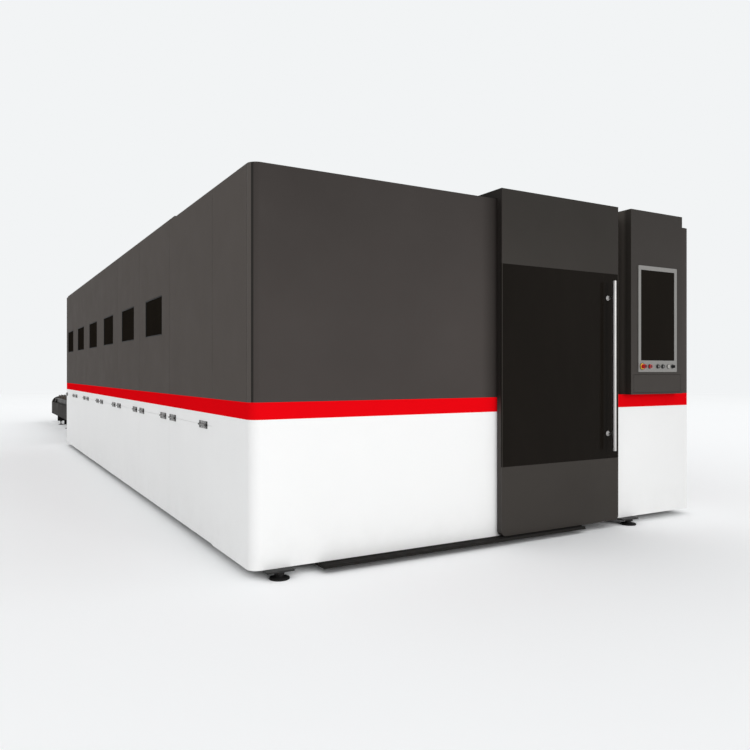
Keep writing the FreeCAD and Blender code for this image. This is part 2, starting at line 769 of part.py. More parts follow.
def make_bed():
    """Two beams of hollow chords and posts, with a window behind each flap, and the members across them."""
    start, end = front_depth, shell_length - rear_depth
    window_low, window_high = beam_hole_bottom, beam_hole_bottom + beam_hole_height
    for side in (-1, 1):
        line, t = beam_line(side), beam_wall
        x0, x1 = line - beam_width / 2, line + beam_width / 2
        for low, high in ((wall_bottom, window_low), (window_high, beam_top)):
            chord = box(x0, x1, start, end, low, high)
            keep("bed_frame", chord.cut(box(x0 + t, x1 - t, start, end, low + t, high - t)))
        ends = [start]
        for a, b in zip(seams, seams[1:]):
            middle = (a + b) / 2
            ends += [middle - beam_hole_length / 2, middle + beam_hole_length / 2]
        ends.append(end)
        for a, b in zip(ends[::2], ends[1::2]):
            post = box(x0, x1, a, b, window_low, window_high)
            keep("bed_frame", post.cut(box(x0 + t, x1 - t, a + t, b - t, window_low, window_high)))
        keep("bed_frame", box(line - foot_plate_width / 2, line + foot_plate_width / 2, -foot_plate_reach,
                              foot_plate_length - foot_plate_reach, wall_bottom - foot_plate, wall_bottom))
        make_guides(side)

    inner = bed_half_span - beam_width / 2
    for y in cross_places():
        y0, y1 = y - cross_width / 2, y + cross_width / 2
        keep("bed_frame", box(bed_middle - inner, bed_middle + inner, y0, y1, wall_bottom, channel_bottom))
        keep("bed_frame", box(beam_line(1) + beam_width / 2, half_width - side_depth, y0, y1, wall_bottom,
                              channel_bottom))


def make_guides(side):
    line = beam_line(side)
    half = guide_width / 2
    end = guide_start + guide_length
    rail_profile = [(-half, 0), (half, 0), (half, 10), (half - 6, 15), (half, 21), (half, guide_height),
                    (-half, guide_height), (-half, 21), (-half + 6, 15), (-half, 10)]
    points = [Vector(line + x, guide_start, beam_top + z) for x, z in rail_profile]
    keep("guide_rails", prism(points, Vector(0, guide_length, 0)))
    rack = line - side * gear_rack_offset
    keep("gear_racks", box(rack - gear_rack_width / 2, rack + gear_rack_width / 2, guide_start, end, beam_top,
                           beam_top + gear_rack_height))


def even_post(x, y, z0, z1, radius, sides):
    """Upright post whose section is a regular polygon."""
    turns = [2 * math.pi * (i + 0.5) / sides for i in range(sides)]
    points = [Vector(x + radius * math.cos(t), y + radius * math.sin(t), z0) for t in turns]
    return prism(points, Vector(0, 0, z1 - z0))


def make_feet():
    up = Vector(0, 0, 1)
    for side in (-1, 1):
        line = beam_line(side)
        disc = rod(line, -foot_line, 0, foot_disc_radius, foot_disc, up)
        stem_height = wall_bottom - foot_plate - foot_disc
        post = rod(line, -foot_line, foot_disc, foot_stem_radius, stem_height, up)
        keep("levelling_feet", joined(disc, post))
        for y in pad_places:
            keep("levelling_feet", box(line - pad_width / 2, line + pad_width / 2, y - pad_length / 2,
                                       y + pad_length / 2, 0, wall_bottom))
        for y in table_legs():
            x = bed_middle + side * (channel_outer - table_leg_width / 2)
            disc = even_post(x, y, 0, table_disc, table_disc_radius, 6)
            post = even_post(x, y, table_disc, table_leg_bottom, table_stem_radius, 4)
            keep("levelling_feet", joined(disc, post))


def make_slag_trays():
    places = [y for y in cross_places() if y > inner_track_start]
    inner = channel_outer - channel_width - slag_tray_gap
    left, right = bed_middle - inner, bed_middle + inner
    t, low, top = slag_tray_sheet, channel_bottom - slag_tray_depth, channel_bottom
    for a, b in zip(places, places[1:]):
        y0, y1 = a + cross_width / 2 + slag_tray_gap, b - cross_width / 2 - slag_tray_gap
        tray = box(left, right, y0, y1, low, top + t)
        lips = box(left, right, y0 - slag_tray_lip, y1 + slag_tray_lip, top, top + t)
        keep("slag_trays", joined(tray, lips).cut(box(left + t, right - t, y0 + t, y1 - t, low + t, top + t)))


# ---- pallet tracks and exchange table --------------------------------------------------------------------
def channel(side, start, length):
    """Channel open towards the bed centre: its lower and its upper flange each carry one pallet."""
    outer, tip = channel_outer, channel_outer - channel_width
    web = outer - channel_wall
    top = channel_bottom + channel_height
    profile = [(tip, channel_bottom), (outer, channel_bottom), (outer, top), (tip, top),
               (tip, top - channel_wall), (web, top - channel_wall), (web, channel_bottom + channel_wall),
               (tip, channel_bottom + channel_wall)]
    points = [Vector(bed_middle + side * x, start, z) for x, z in profile]
    return prism(points, Vector(0, length, 0))


def table_legs():
    return [table_start + table_leg_first + i * table_leg_pitch for i in range(table_leg_count)]


def make_tracks_and_table():
    for side in (-1, 1):
        keep("pallet_tracks", channel(side, inner_track_start, inner_track_length))
        web = bed_middle + side * channel_outer
        a, b = sorted((web, web + side * dock_width))
        dock = box(a, b, shell_length, shell_length + dock_thickness, channel_bottom,
                   channel_bottom + channel_height)
        keep("table_frame", channel(side, table_start, table_length), dock)
        a, b = sorted((web, web - side * table_leg_width))
        for y in table_legs():
            keep("table_frame", box(a, b, y - table_leg_depth / 2, y + table_leg_depth / 2, table_leg_bottom,
                                    channel_bottom))
    inner = channel_outer - table_leg_width
    for y in table_legs():
        y0, y1 = y - table_leg_depth / 2, y + table_leg_depth / 2
        keep("table_frame", box(bed_middle - inner, bed_middle + inner, y0, y1,
                                channel_bottom - table_cross_height, channel_bottom))
    top = channel_bottom + channel_height
    left, right = bed_middle - channel_outer, bed_middle + channel_outer
    front = table_end - hoop_thickness
    under = top - hoop_corner
    hoop = rounded_plate(left, right, front, table_end, under, top + hoop_height, hoop_corner, ("high",))
    hole = rounded_plate(left + hoop_band, right - hoop_band, front, table_end, under,
                         top + hoop_height - hoop_band, hoop_corner - hoop_band, ("high",))
    hoop = hoop.cut([hole, box(left, right, front, table_end, under, top)])
    splits = (left, left + hoop_corner, right - hoop_corner, right)
    for a, b in zip(splits, splits[1:]):
        keep("table_frame", hoop.common(box(a, b, front, table_end, top, top + hoop_height)))


# ---- pallets ---------------------------------------------------------------------------------------------
def make_pallet(name, start, rail_top):
    outer = channel_outer - channel_width - pallet_side_gap
    inner = outer - pallet_bar_width
    low = rail_top + pallet_underside
    high = low + pallet_bar_height
    end = start + pallet_length
    ledge_top = rail_top + ledge_height
    for side in (-1, 1):
        a, b = sorted((bed_middle + side * outer, bed_middle + side * inner))
        bar = box(a, b, start, end, low, high)
        a, b = sorted((bed_middle + side * inner, bed_middle + side * (inner - ledge_width)))
        rails = [box(a, b, start + pallet_bar_width, end - pallet_bar_width, ledge_top - ledge_thickness,
                     ledge_top)]
        step = (pallet_length - 2 * wheel_first) / (wheel_count - 1)
        for i in range(wheel_count):
            y = start + wheel_first + i * step
            z = rail_top + wheel_radius + running_gap
            hub = outer + pallet_side_gap
            half = wheel_axle / 2
            a, b = sorted((bed_middle + side * outer, bed_middle + side * hub))
            rails.append(box(a, b, y - half, y + half, z - half, z + half))
            rails.append(rod(bed_middle + side * hub, y, z, wheel_radius, wheel_width, Vector(side, 0, 0)))
        keep(f"{name}_frame", joined(bar, *rails))
    for y in (start, end - pallet_bar_width):
        keep(f"{name}_frame", box(bed_middle - inner, bed_middle + inner, y, y + pallet_bar_width, low, high))

    reach = inner - slat_end_gap
    first, last = start + pallet_bar_width + slat_pitch / 2, end - pallet_bar_width - slat_thickness
    count = int((last - first) // slat_pitch) + 1
    for i in range(count):
        y = first + i * slat_pitch
        keep(f"{name}_slats", box(bed_middle - reach, bed_middle + reach, y, y + slat_thickness, ledge_top,
                                  ledge_top + slat_height))


# ---- gantry ----------------------------------------------------------------------------------------------
def make_gantry():
    guide_top = beam_top + guide_height
    carriage_low = guide_top + running_gap
    beam_low = carriage_low + carriage_height
    for side in (-1, 1):
        line = beam_line(side)
        x0, x1 = line - carriage_width / 2, line + carriage_width / 2
        y0, y1 = gantry_line - carriage_length / 2, gantry_line + carriage_length / 2
        keep("gantry_end_carriages", box(x0, x1, y0, y1, carriage_low, beam_low))
    y0, y1 = gantry_line - gantry_depth / 2, gantry_line + gantry_depth / 2
    c, w = gantry_chamfer, gantry_wall
    beam_high = beam_low + gantry_height
    left = beam_line(-1) - carriage_width / 2
    length = 2 * bed_half_span + carriage_width

    def section(inset):
        cut = c - inset * 0.586
        a, b, low, high = y0 + inset, y1 - inset, beam_low + inset, beam_high - inset
        outline = [(a, low), (b - cut, low), (b, low + cut), (b, high - cut), (b - cut, high), (a, high)]
        return prism([Vector(left, y, z) for y, z in outline], Vector(length, 0, 0))

    keep("gantry_beam", section(0).cut(section(w)))
    for height in cross_rail_heights:
        z = beam_low + height
        keep("cross_rails", box(left + cross_rail_end, left + length - cross_rail_end, y0 - cross_rail_size,
                                y0, z, z + cross_rail_size))

    plate_back = y0 - cross_rail_size - running_gap
    plate_low = beam_low - head_plate_drop
    plate_high = beam_high
    middle = bed_middle
    plate_left, plate_right = middle - head_plate_width / 2, middle + head_plate_width / 2
    plate = box(plate_left, plate_right, plate_back - head_plate, plate_back, plate_low, plate_high)
    blocks = []
    for height in cross_rail_heights:
        above = beam_low + height + cross_rail_size + running_gap
        below = beam_low + height - running_gap - head_shoe
        for z in (above, below):
            blocks.append(box(plate_left, plate_right, plate_back, y0 - running_gap, z, z + head_shoe))
    keep("cross_carriage", joined(plate, *blocks))

    slide_back = plate_back - head_plate - slide_gap
    slide_low = plate_low - head_drop
    slide = box(middle - head_slide_width / 2, middle + head_slide_width / 2, slide_back - head_slide_depth,
                slide_back, slide_low, slide_low + head_slide_height)
    head_y = slide_back - head_slide_depth / 2
    barrel = rod(middle, head_y, slide_low - barrel_length, barrel_radius, barrel_length, Vector(0, 0, 1))
    cone = Part.makeCone(nozzle_radius, barrel_radius, cone_length,
                         Vector(middle, head_y, slide_low - barrel_length - cone_length), Vector(0, 0, 1))
    keep("cutting_head", joined(slide, barrel, cone))


# ---- shutter, cabinet and laser source -------------------------------------------------------------------
def make_shutter():
    x0 = bed_middle - port_half_width - shutter_overlap
    x1 = bed_middle + port_half_width + shutter_overlap
    y1 = shell_length - rear_depth - guide_channel_sheet - shutter_play
    y0 = y1 - shutter_thickness
    low = shutter_bottom + shutter_lift
    high = low + shutter_height
    panel = box(x0, x1, y0, y1, low, high)
    folds = box(x0 + skin, x1 - skin, y0, y1 - skin, low + skin, high - skin)
    keep("rear_shutter", panel.cut(folds))
    tip = port_half_width + shutter_overlap - guide_channel_width / 4
    web = tip + guide_channel_width
    top = guide_channel_bottom + guide_channel_height
    sheet, play = guide_channel_sheet, shutter_play
    for side in (-1, 1):
        a, b = sorted((bed_middle + side * tip, bed_middle + side * web))
        guide = box(a, b, y0 - play - sheet, y1 + play + sheet, guide_channel_bottom, top)
        a, b = sorted((bed_middle + side * tip, bed_middle + side * (web - sheet)))
        keep("shutter_guides", guide.cut(box(a, b, y0 - play, y1 + play, guide_channel_bottom, top)))


def make_inner_boxes():
    """Sheet housings, open below, on the outriggers of the bed."""
    right = half_width - side_depth - cabinet_side_gap
    floor = channel_bottom
    sizes = {"control_cabinet": (cabinet_width, cabinet_start, cabinet_length, cabinet_height),
             "laser_source": (source_width, source_start, source_length, source_height)}
    for name, (width, start, length, height) in sizes.items():
        left, end, top = right - width, start + length, floor + height
        inside = box(left + skin, right - skin, start + skin, end - skin, floor, top - skin)
        keep(name, box(left, right, start, end, floor, top).cut(inside))


make_side_walls()
make_left_lower()
for bay in range(bay_count):
    make_flap(bay)
make_front_walls()
make_rear_walls()
make_roof()
make_door()
make_door_track()
make_console()
make_bed()
make_feet()
make_slag_trays()
make_tracks_and_table()
make_pallet("upper_pallet", outer_pallet_start, upper_rail_top)
make_pallet("lower_pallet", inner_pallet_start, inner_rail_top)
make_gantry()
make_shutter()
make_inner_boxes()

os.makedirs("parts", exist_ok=True)
for name, solids in nodes.items():
    shape = solids[0] if len(solids) == 1 else Part.makeCompound(solids)
    shape = shape.copy()
    shape.translate(Vector(-origin_x, -origin_y, 0))
    shape.exportStep(f"parts/{name}.step")
print(len(nodes), "nodes; origin", origin_x, origin_y)
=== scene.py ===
import math
import random

import bmesh
import bpy
from mathutils import Matrix, Vector


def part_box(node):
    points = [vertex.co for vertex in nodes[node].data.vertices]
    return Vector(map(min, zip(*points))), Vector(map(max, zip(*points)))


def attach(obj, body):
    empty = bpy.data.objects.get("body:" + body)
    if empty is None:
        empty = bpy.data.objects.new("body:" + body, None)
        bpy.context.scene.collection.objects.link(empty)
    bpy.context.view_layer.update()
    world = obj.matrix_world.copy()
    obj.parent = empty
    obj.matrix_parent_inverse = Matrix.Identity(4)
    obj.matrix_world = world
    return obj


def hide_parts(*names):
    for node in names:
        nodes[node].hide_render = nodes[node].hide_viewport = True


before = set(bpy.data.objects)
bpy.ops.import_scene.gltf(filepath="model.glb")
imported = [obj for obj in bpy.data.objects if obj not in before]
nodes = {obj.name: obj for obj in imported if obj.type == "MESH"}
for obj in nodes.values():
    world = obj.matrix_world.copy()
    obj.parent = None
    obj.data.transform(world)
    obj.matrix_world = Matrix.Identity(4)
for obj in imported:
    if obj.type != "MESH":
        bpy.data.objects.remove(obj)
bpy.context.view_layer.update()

rng = random.Random(11)
shell_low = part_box("red_bands")[0]

# Lengths are in metres. Only the places that are given to at() are in millimetres.


def at(x, y, z):
    """A place in millimetres: X from the left wall, Y from the front wall, Z from the floor."""
    return Vector((shell_low.x + x / 1000, shell_low.y + y / 1000, z / 1000))


# ---- camera ----------------------------------------------------------------------------------------------
camera_data = bpy.data.cameras.new("camera")
camera_data.sensor_width = 36.0
camera_data.lens = 33.97
camera_data.shift_y = -0.004
camera_data.clip_end = 200.0
camera = bpy.data.objects.new("camera", camera_data)
bpy.context.scene.collection.objects.link(camera)
camera.location = at(-1375, -3793.3, 1175)
camera.rotation_euler = (math.radians(90), 0, math.radians(-29.9))
bpy.context.scene.camera = camera
bpy.context.scene.view_settings.view_transform = "Standard"


# ---- node helpers ----------------------------------------------------------------------------------------
class Shader:
    """One material and short ways to add nodes to it."""

    def __init__(self, name, roughness, metallic=0.0, specular=0.5):
        self.material = bpy.data.materials.new(name)
        self.material.use_nodes = True
        self.tree = self.material.node_tree
        self.bsdf = self.tree.nodes["Principled BSDF"]
        self.bsdf.inputs["Roughness"].default_value = roughness
        self.bsdf.inputs["Metallic"].default_value = metallic
        self.bsdf.inputs["Specular IOR Level"].default_value = specular
        self.place = self.add("ShaderNodeTexCoord").outputs["Object"]

    def add(self, kind, **settings):
        node = self.tree.nodes.new(kind)
        for key, value in settings.items():
            setattr(node, key, value)
        return node

    def feed(self, socket, value):
        """Link a socket to an output, or set it to a constant."""
        if isinstance(value, bpy.types.NodeSocket):
            self.tree.links.new(value, socket)
        else:
            socket.default_value = value

    def stretched(self, scale):
        """Object coordinates, scaled per axis."""
        node = self.add("ShaderNodeMapping")
        self.feed(node.inputs["Vector"], self.place)
        node.inputs["Scale"].default_value = scale
        return node.outputs["Vector"]

    def noise(self, scale, detail=2.0, rough=0.5, place=None, distortion=0.0):
        node = self.add("ShaderNodeTexNoise")
        self.feed(node.inputs["Vector"], place or self.place)
        node.inputs["Scale"].default_value = scale
        node.inputs["Detail"].default_value = detail
        node.inputs["Roughness"].default_value = rough
        node.inputs["Distortion"].default_value = distortion
        return node.outputs["Fac"]

    def span(self, value, low, high, out_low=0.0, out_high=1.0):
        """Map low...high to out_low...out_high and stay within them."""
        node = self.add("ShaderNodeMapRange", clamp=True)
        self.feed(node.inputs["Value"], value)
        node.inputs["From Min"].default_value = low
        node.inputs["From Max"].default_value = high
        node.inputs["To Min"].default_value = out_low
        node.inputs["To Max"].default_value = out_high
        return node.outputs["Result"]

    def math(self, operation, a, b=0.0):
        node = self.add("ShaderNodeMath", operation=operation)
        self.feed(node.inputs[0], a)
        self.feed(node.inputs[1], b)
        return node.outputs[0]

    def mix(self, factor, a, b):
        node = self.add("ShaderNodeMix", data_type="RGBA")
        self.feed(node.inputs[0], factor)
        self.feed(node.inputs[6], a)
        self.feed(node.inputs[7], b)
        return node.outputs[2]

    def along(self, axis):
        node = self.add("ShaderNodeSeparateXYZ")
        self.feed(node.inputs[0], self.place)
        return node.outputs[axis]

    def below(self, axis, high):
        """1 below a place along an axis, 0 above it."""
        return self.math("LESS_THAN", self.along(axis), high)

    def inside(self, axis, low, high):
        """1 between two places along an axis, 0 elsewhere."""
        above = self.math("GREATER_THAN", self.along(axis), low)
        return self.math("MULTIPLY", above, self.below(axis, high))

    def repeated(self, axis, first, pitch, half):
        """1 within `half` of places that repeat along an axis, 0 elsewhere."""
        shifted = self.math("SUBTRACT", self.along(axis), first - pitch / 2)
        within_pitch = self.math("FLOORED_MODULO", shifted, pitch)
        offset = self.math("ABSOLUTE", self.math("SUBTRACT", within_pitch, pitch / 2))
        return self.math("LESS_THAN", offset, half)

    def bevelled_normal(self, radius):
        bevel = self.add("ShaderNodeBevel", samples=4)
        bevel.inputs["Radius"].default_value = radius
        return bevel.outputs["Normal"]

    def edges(self, radius):
        """1 on outer edges and 0 on flat faces."""
        dot = self.add("ShaderNodeVectorMath", operation="DOT_PRODUCT")
        self.feed(dot.inputs[0], self.bevelled_normal(radius))
        self.feed(dot.inputs[1], self.add("ShaderNodeNewGeometry").outputs["Normal"])
        return self.span(dot.outputs["Value"], 0.99, 0.86)

    def rounded(self, radius, height, strength, distance):
        """Softened edges, with a fine bump over them."""
        bump = self.add("ShaderNodeBump")
        bump.inputs["Strength"].default_value = strength
        bump.inputs["Distance"].default_value = distance
        self.feed(bump.inputs["Height"], height)
        self.feed(bump.inputs["Normal"], self.bevelled_normal(radius))
        self.feed(self.bsdf.inputs["Normal"], bump.outputs["Normal"])


# ---- colours ---------------------------------------------------------------------------------------------
# One dark paint in four colours by face, as painted light and shade: the side walls and roof lighter, the
# door and console darker than the front.
DARK_SIDE = (0.0820, 0.0720, 0.0655)
DARK_FRONT = (0.0530, 0.0455, 0.0420)
DARK_DOOR = (0.0410, 0.0365, 0.0325)
DARK_CONSOLE = (0.0480, 0.0425, 0.0385)
WHITE = (0.825, 0.825, 0.820)
RED = (0.720, 0.0022, 0.0055)
BLACK = (0.0120, 0.0118, 0.0115)
NO_LIGHT = (0.0, 0.0, 0.0)
DUST = (0.30, 0.28, 0.26)
RUST = (0.085, 0.050, 0.034)
SOOT = (0.028, 0.026, 0.025)
HINGE_ENDS = (0.062, 0.060, 0.057)
HINGE_MIDDLE = (0.255, 0.250, 0.245)
# Painted shade: the dark line on the rounded front corner.
CORNER_SHADE = (0.020, 0.018, 0.016)
DOOR_SHADE = (0.006, 0.004, 0.003)
# Painted shade and painted light for the console's left side.
CONSOLE_SIDE_SHADED = (0.031, 0.027, 0.023)
CONSOLE_SIDE_LIT = (0.085, 0.074, 0.064)
# Painted shade and painted bounce light on the door's left side.
DOOR_SIDE_SHADE = (0.021, 0.018, 0.016)
DOOR_SIDE_BOUNCE = (0.066, 0.060, 0.056)
TABLE_LEG = (0.0090, 0.0085, 0.0080)
COPPER = (0.62, 0.30, 0.16)


def tint(colour, factor=1.0):
    return (*(min(1.0, c * factor) for c in colour), 1.0)


# ---- kinds of material -----------------------------------------------------------------------------------
def paint(name, colour, roughness=0.5, specular=0.25, peel=520.0, tone=0.05, wear_and_highlight=0.25, dust=0.0,
          radius=0.0015, over=None):
    """Powder-coated sheet: orange peel, slow changes of tone, rubbed edges that are partly a painted
    highlight, dust near the floor.

    `over` takes the shader and its colour and gives the colour with other paints laid over it.
    """
    s = Shader(name, roughness, 0.0, specular)
    slow = s.span(s.noise(0.9, 3.0, 0.55), 0.35, 0.65)
    base = s.mix(slow, tint(colour, 1 - tone), tint(colour, 1 + tone))
    speck = s.span(s.noise(peel * 1.7, 2.0), 0.60, 0.74, 0.0, 0.5)
    base = s.mix(speck, base, tint(colour, 0.86))
    if dust:
        near_floor = s.span(s.along(2), 0.36, 0.04, 0.0, dust)
        patchy = s.math("MULTIPLY", near_floor, s.span(s.noise(7.0, 4.0, 0.6), 0.38, 0.72))
        base = s.mix(patchy, base, tint(DUST))
    # Rubbed edges: wear, and on the dark paints a painted edge highlight too.
    patches = s.span(s.noise(46.0, 4.0, 0.65), 0.44, 0.68, 0.0, wear_and_highlight)
    rubbed_and_lit_edges = s.math("MULTIPLY", s.edges(radius * 1.6), patches)
    base = s.mix(rubbed_and_lit_edges, base, tint([0.6 * c + 0.16 for c in colour]))
    if over:
        base = over(s, base)
    s.feed(s.bsdf.inputs["Base Color"], base)
    handled = s.span(s.noise(3.1, 4.0, 0.6), 0.3, 0.7, roughness - 0.07, roughness + 0.07)
    s.feed(s.bsdf.inputs["Roughness"], handled)
    s.rounded(radius, s.noise(peel, 2.0, 0.5), 0.22, 0.0005)
    return s.material


def brushed(name, colour, roughness, along, metallic=1.0, grain=900.0, tone=0.08, depth=0.12, over=None):
    """Metal with a fine grain along one axis (0, 1 or 2). `over` is as in paint()."""
    s = Shader(name, roughness, metallic)
    scale = [1.0, 1.0, 1.0]
    scale[along] = 0.015
    lines = s.noise(grain, 3.0, 0.6, s.stretched(scale))
    slow = s.noise(2.3, 3.0, 0.6)
    base = s.mix(s.span(lines, 0.35, 0.65), tint(colour, 1 - tone), tint(colour, 1 + tone))
    base = s.mix(s.span(slow, 0.4, 0.7, 0.0, 0.25), base, tint(colour, 0.8))
    if over:
        base = over(s, base)
    s.feed(s.bsdf.inputs["Base Color"], base)
    s.feed(s.bsdf.inputs["Roughness"], s.span(lines, 0.3, 0.7, roughness - 0.06, roughness + 0.1))
    s.rounded(0.001, lines, depth, 0.0002)
    return s.material


def moulded(name, colour, roughness, specular=0.5, grain=1400.0):
    """Moulded plastic or rubber with a fine texture."""
    s = Shader(name, roughness, 0.0, specular)
    fine = s.noise(grain, 2.0)
    base = s.mix(s.span(s.noise(40.0, 3.0), 0.35, 0.65), tint(colour, 0.93), tint(colour, 1.07))
    s.feed(s.bsdf.inputs["Base Color"], base)
    s.feed(s.bsdf.inputs["Roughness"], s.span(fine, 0.3, 0.7, roughness - 0.05, roughness + 0.06))
    s.rounded(0.0008, fine, 0.15, 0.0002)
    return s.material


def dark_glass(name, colour, roughness, specular):
    """Tinted safety glass that lets nothing be seen behind it, with faint smears."""
    s = Shader(name, roughness, 0.0, specular)
    smear = s.noise(2.4, 5.0, 0.62, s.stretched((1.0, 1.0, 0.35)), 0.4)
    base = s.mix(s.span(smear, 0.4, 0.7), tint(colour, 0.92), tint(colour, 1.10))
    s.feed(s.bsdf.inputs["Base Color"], base)
    s.feed(s.bsdf.inputs["Roughness"], s.span(smear, 0.35, 0.75, roughness, roughness + 0.07))
    s.rounded(0.0012, s.noise(1.7, 2.0), 0.04, 0.002)
    return s.material


def scorched(name, colour):
    """Slat and tray steel: rust, slag spatter and soot."""
    s = Shader(name, 0.62, 0.75, 0.4)
    rust = s.span(s.noise(9.0, 6.0, 0.65, distortion=0.5), 0.42, 0.66)
    base = s.mix(rust, tint(colour), tint(RUST))
    soot = s.span(s.noise(31.0, 5.0, 0.7), 0.5, 0.68, 0.0, 0.9)
    base = s.mix(soot, base, tint(SOOT))
    s.feed(s.bsdf.inputs["Base Color"], base)
    s.feed(s.bsdf.inputs["Metallic"], s.span(rust, 0.0, 1.0, 0.85, 0.15))
    s.feed(s.bsdf.inputs["Roughness"], s.span(s.noise(60.0, 4.0), 0.3, 0.7, 0.45, 0.8))
    s.rounded(0.001, s.noise(180.0, 5.0, 0.7), 0.5, 0.0012)
    return s.material


# ---- paints that are laid over parts of a node -----------------------------------------------------------
# Places of the bays and hinges of the left wall, for at().
CORNER_BAY = 720               # plain corner piece of the wall
BAY_PITCH = 1124
FLAPS = 7
SEAMS = [CORNER_BAY + BAY_PITCH * i for i in range(FLAPS + 1)]
HINGE_OFFSETS = (195, BAY_PITCH - 110)      # middles of a flap's two hinges, from the flap's front seam
HINGE_MIDDLES = [seam + offset for seam in SEAMS[:FLAPS] for offset in HINGE_OFFSETS]

# Where overlaid paints begin and end: across from the left wall, back from the front wall or up from the
# floor, in metres.
HINGE_HALF = 0.0545            # half of a hinge's middle knuckle
FRONT_FEET_END = 0.300
ROOF_SHADE_START, ROOF_SHADE_END = 1.45, 2.45
CORNER_END = 0.035
# Span of the dark line of painted shade on the rounded corner, back from the front wall.
CORNER_SHADE_START, CORNER_SHADE_END = 0.0145, 0.0256
DOOR_SHADE_START, DOOR_SHADE_FULL, DOOR_SHADE_END = 1.64, 1.765, 1.80
# Span of painted shade on the front sheets right of the door.
RIGHT_SHADE_START, RIGHT_SHADE_END = 2.6, 3.8
CONSOLE_LEFT = 3.036
RECESS_START, RECESS_FULL = -0.020, 0.010
DOOR_LEFT = 1.772
BAND_BOTTOM, BAND_TOP = 0.90, 1.02
CHANNEL_BOTTOM, CHANNEL_TOP = 0.198, 0.468  # side channels of the exchange table
NOZZLE_LENGTH = 0.018
CLEAR = 0.0005                 # off a face, so that the whole face has one paint
nozzle_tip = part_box("cutting_head")[0].z


def hinge_paint(s, base):
    """Grey hinges with darker ends, which stand out from the white of the left wall."""
    middles = [s.repeated(1, shell_low.y + middle / 1000, BAY_PITCH / 1000, HINGE_HALF)
               for middle in HINGE_MIDDLES[:2]]
    colour = s.mix(s.math("MAXIMUM", *middles), tint(HINGE_ENDS), tint(HINGE_MIDDLE))
    return s.mix(s.below(0, shell_low.x - CLEAR), base, colour)


def foot_paint(s, base):
    """Black foot plates at the front end of the bed."""
    return s.mix(s.below(1, shell_low.y + FRONT_FEET_END), base, tint(BLACK))


def shaded_top(s, base):
    """Front sheets darken a little towards the roof."""
    shade = s.span(s.along(2), ROOF_SHADE_START, ROOF_SHADE_END, 0.0, 0.26)
    return s.mix(shade, base, tint(NO_LIGHT))


def wall_paint(s, base):
    """Front sheets: the side's lighter tone and a line of painted shade on the rounded corner, painted shade
    by the door.
    """
    shade_start, shade_end = shell_low.y + CORNER_SHADE_START, shell_low.y + CORNER_SHADE_END
    # Painted light and shade on the rounded corner: a dark line of painted shade, and past it the side
    # wall's lighter tone.
    corner = s.below(0, shell_low.x + CORNER_END)
    side = s.math("MULTIPLY", corner, s.math("GREATER_THAN", s.along(1), shade_end))
    seam = s.math("MULTIPLY", corner, s.inside(1, shade_start, shade_end))
    base = s.mix(side, shaded_top(s, base), tint(DARK_SIDE))
    base = s.mix(seam, base, tint(CORNER_SHADE))
    shade = s.span(s.along(0), shell_low.x + DOOR_SHADE_START, shell_low.x + DOOR_SHADE_FULL, 0.0, 0.60)
    near_door = s.math("MULTIPLY", shade, s.below(0, shell_low.x + DOOR_SHADE_END))
    return s.mix(near_door, base, tint(DOOR_SHADE))


def shaded_right(s, base):
    """Painted shade: the front sheets right of the door are a little less bright, more so towards the right.
    """
    right_shade = s.span(s.along(0), shell_low.x + RIGHT_SHADE_START, shell_low.x + RIGHT_SHADE_END, 0.0, 0.13)
    return s.mix(right_shade, base, tint(NO_LIGHT))


def console_paint(s, base):
    """Painted shade on the console's left side, darker than its front, and painted light that makes it least
    dark deep in the recess.
    """
    side = s.below(0, shell_low.x + CONSOLE_LEFT)
    depth = s.span(s.along(1), shell_low.y + RECESS_START, shell_low.y + RECESS_FULL)
    return s.mix(side, shaded_top(s, base), s.mix(depth, tint(CONSOLE_SIDE_SHADED), tint(CONSOLE_SIDE_LIT)))


def door_paint(s, base):
    """The door's left side takes painted light and shade from the wall beside it: painted shade above the
    band, painted bounce light below.
    """
    side = s.below(0, shell_low.x + DOOR_LEFT)
    low = s.math("MULTIPLY", side, s.span(s.along(2), BAND_TOP, BAND_BOTTOM))
    high = s.math("MULTIPLY", side, s.span(s.along(2), BAND_BOTTOM, BAND_TOP))
    base = s.mix(high, shaded_top(s, base), tint(DOOR_SIDE_SHADE))
    return s.mix(low, base, tint(DOOR_SIDE_BOUNCE))


def leg_paint(s, base):
    """Near-black legs under the channels of the table."""
    return s.mix(s.below(2, CHANNEL_BOTTOM - CLEAR), base, tint(TABLE_LEG))


def nozzle_paint(s, base):
    """Copper tip of the nozzle."""
    return s.mix(s.below(2, nozzle_tip + NOZZLE_LENGTH), base, tint(COPPER))


# ---- materials -------------------------------------------------------------------------------------------
WHITE_COAT = {"roughness": 0.50, "specular": 0.10, "tone": 0.010, "wear_and_highlight": 0.08, "dust": 0.07}

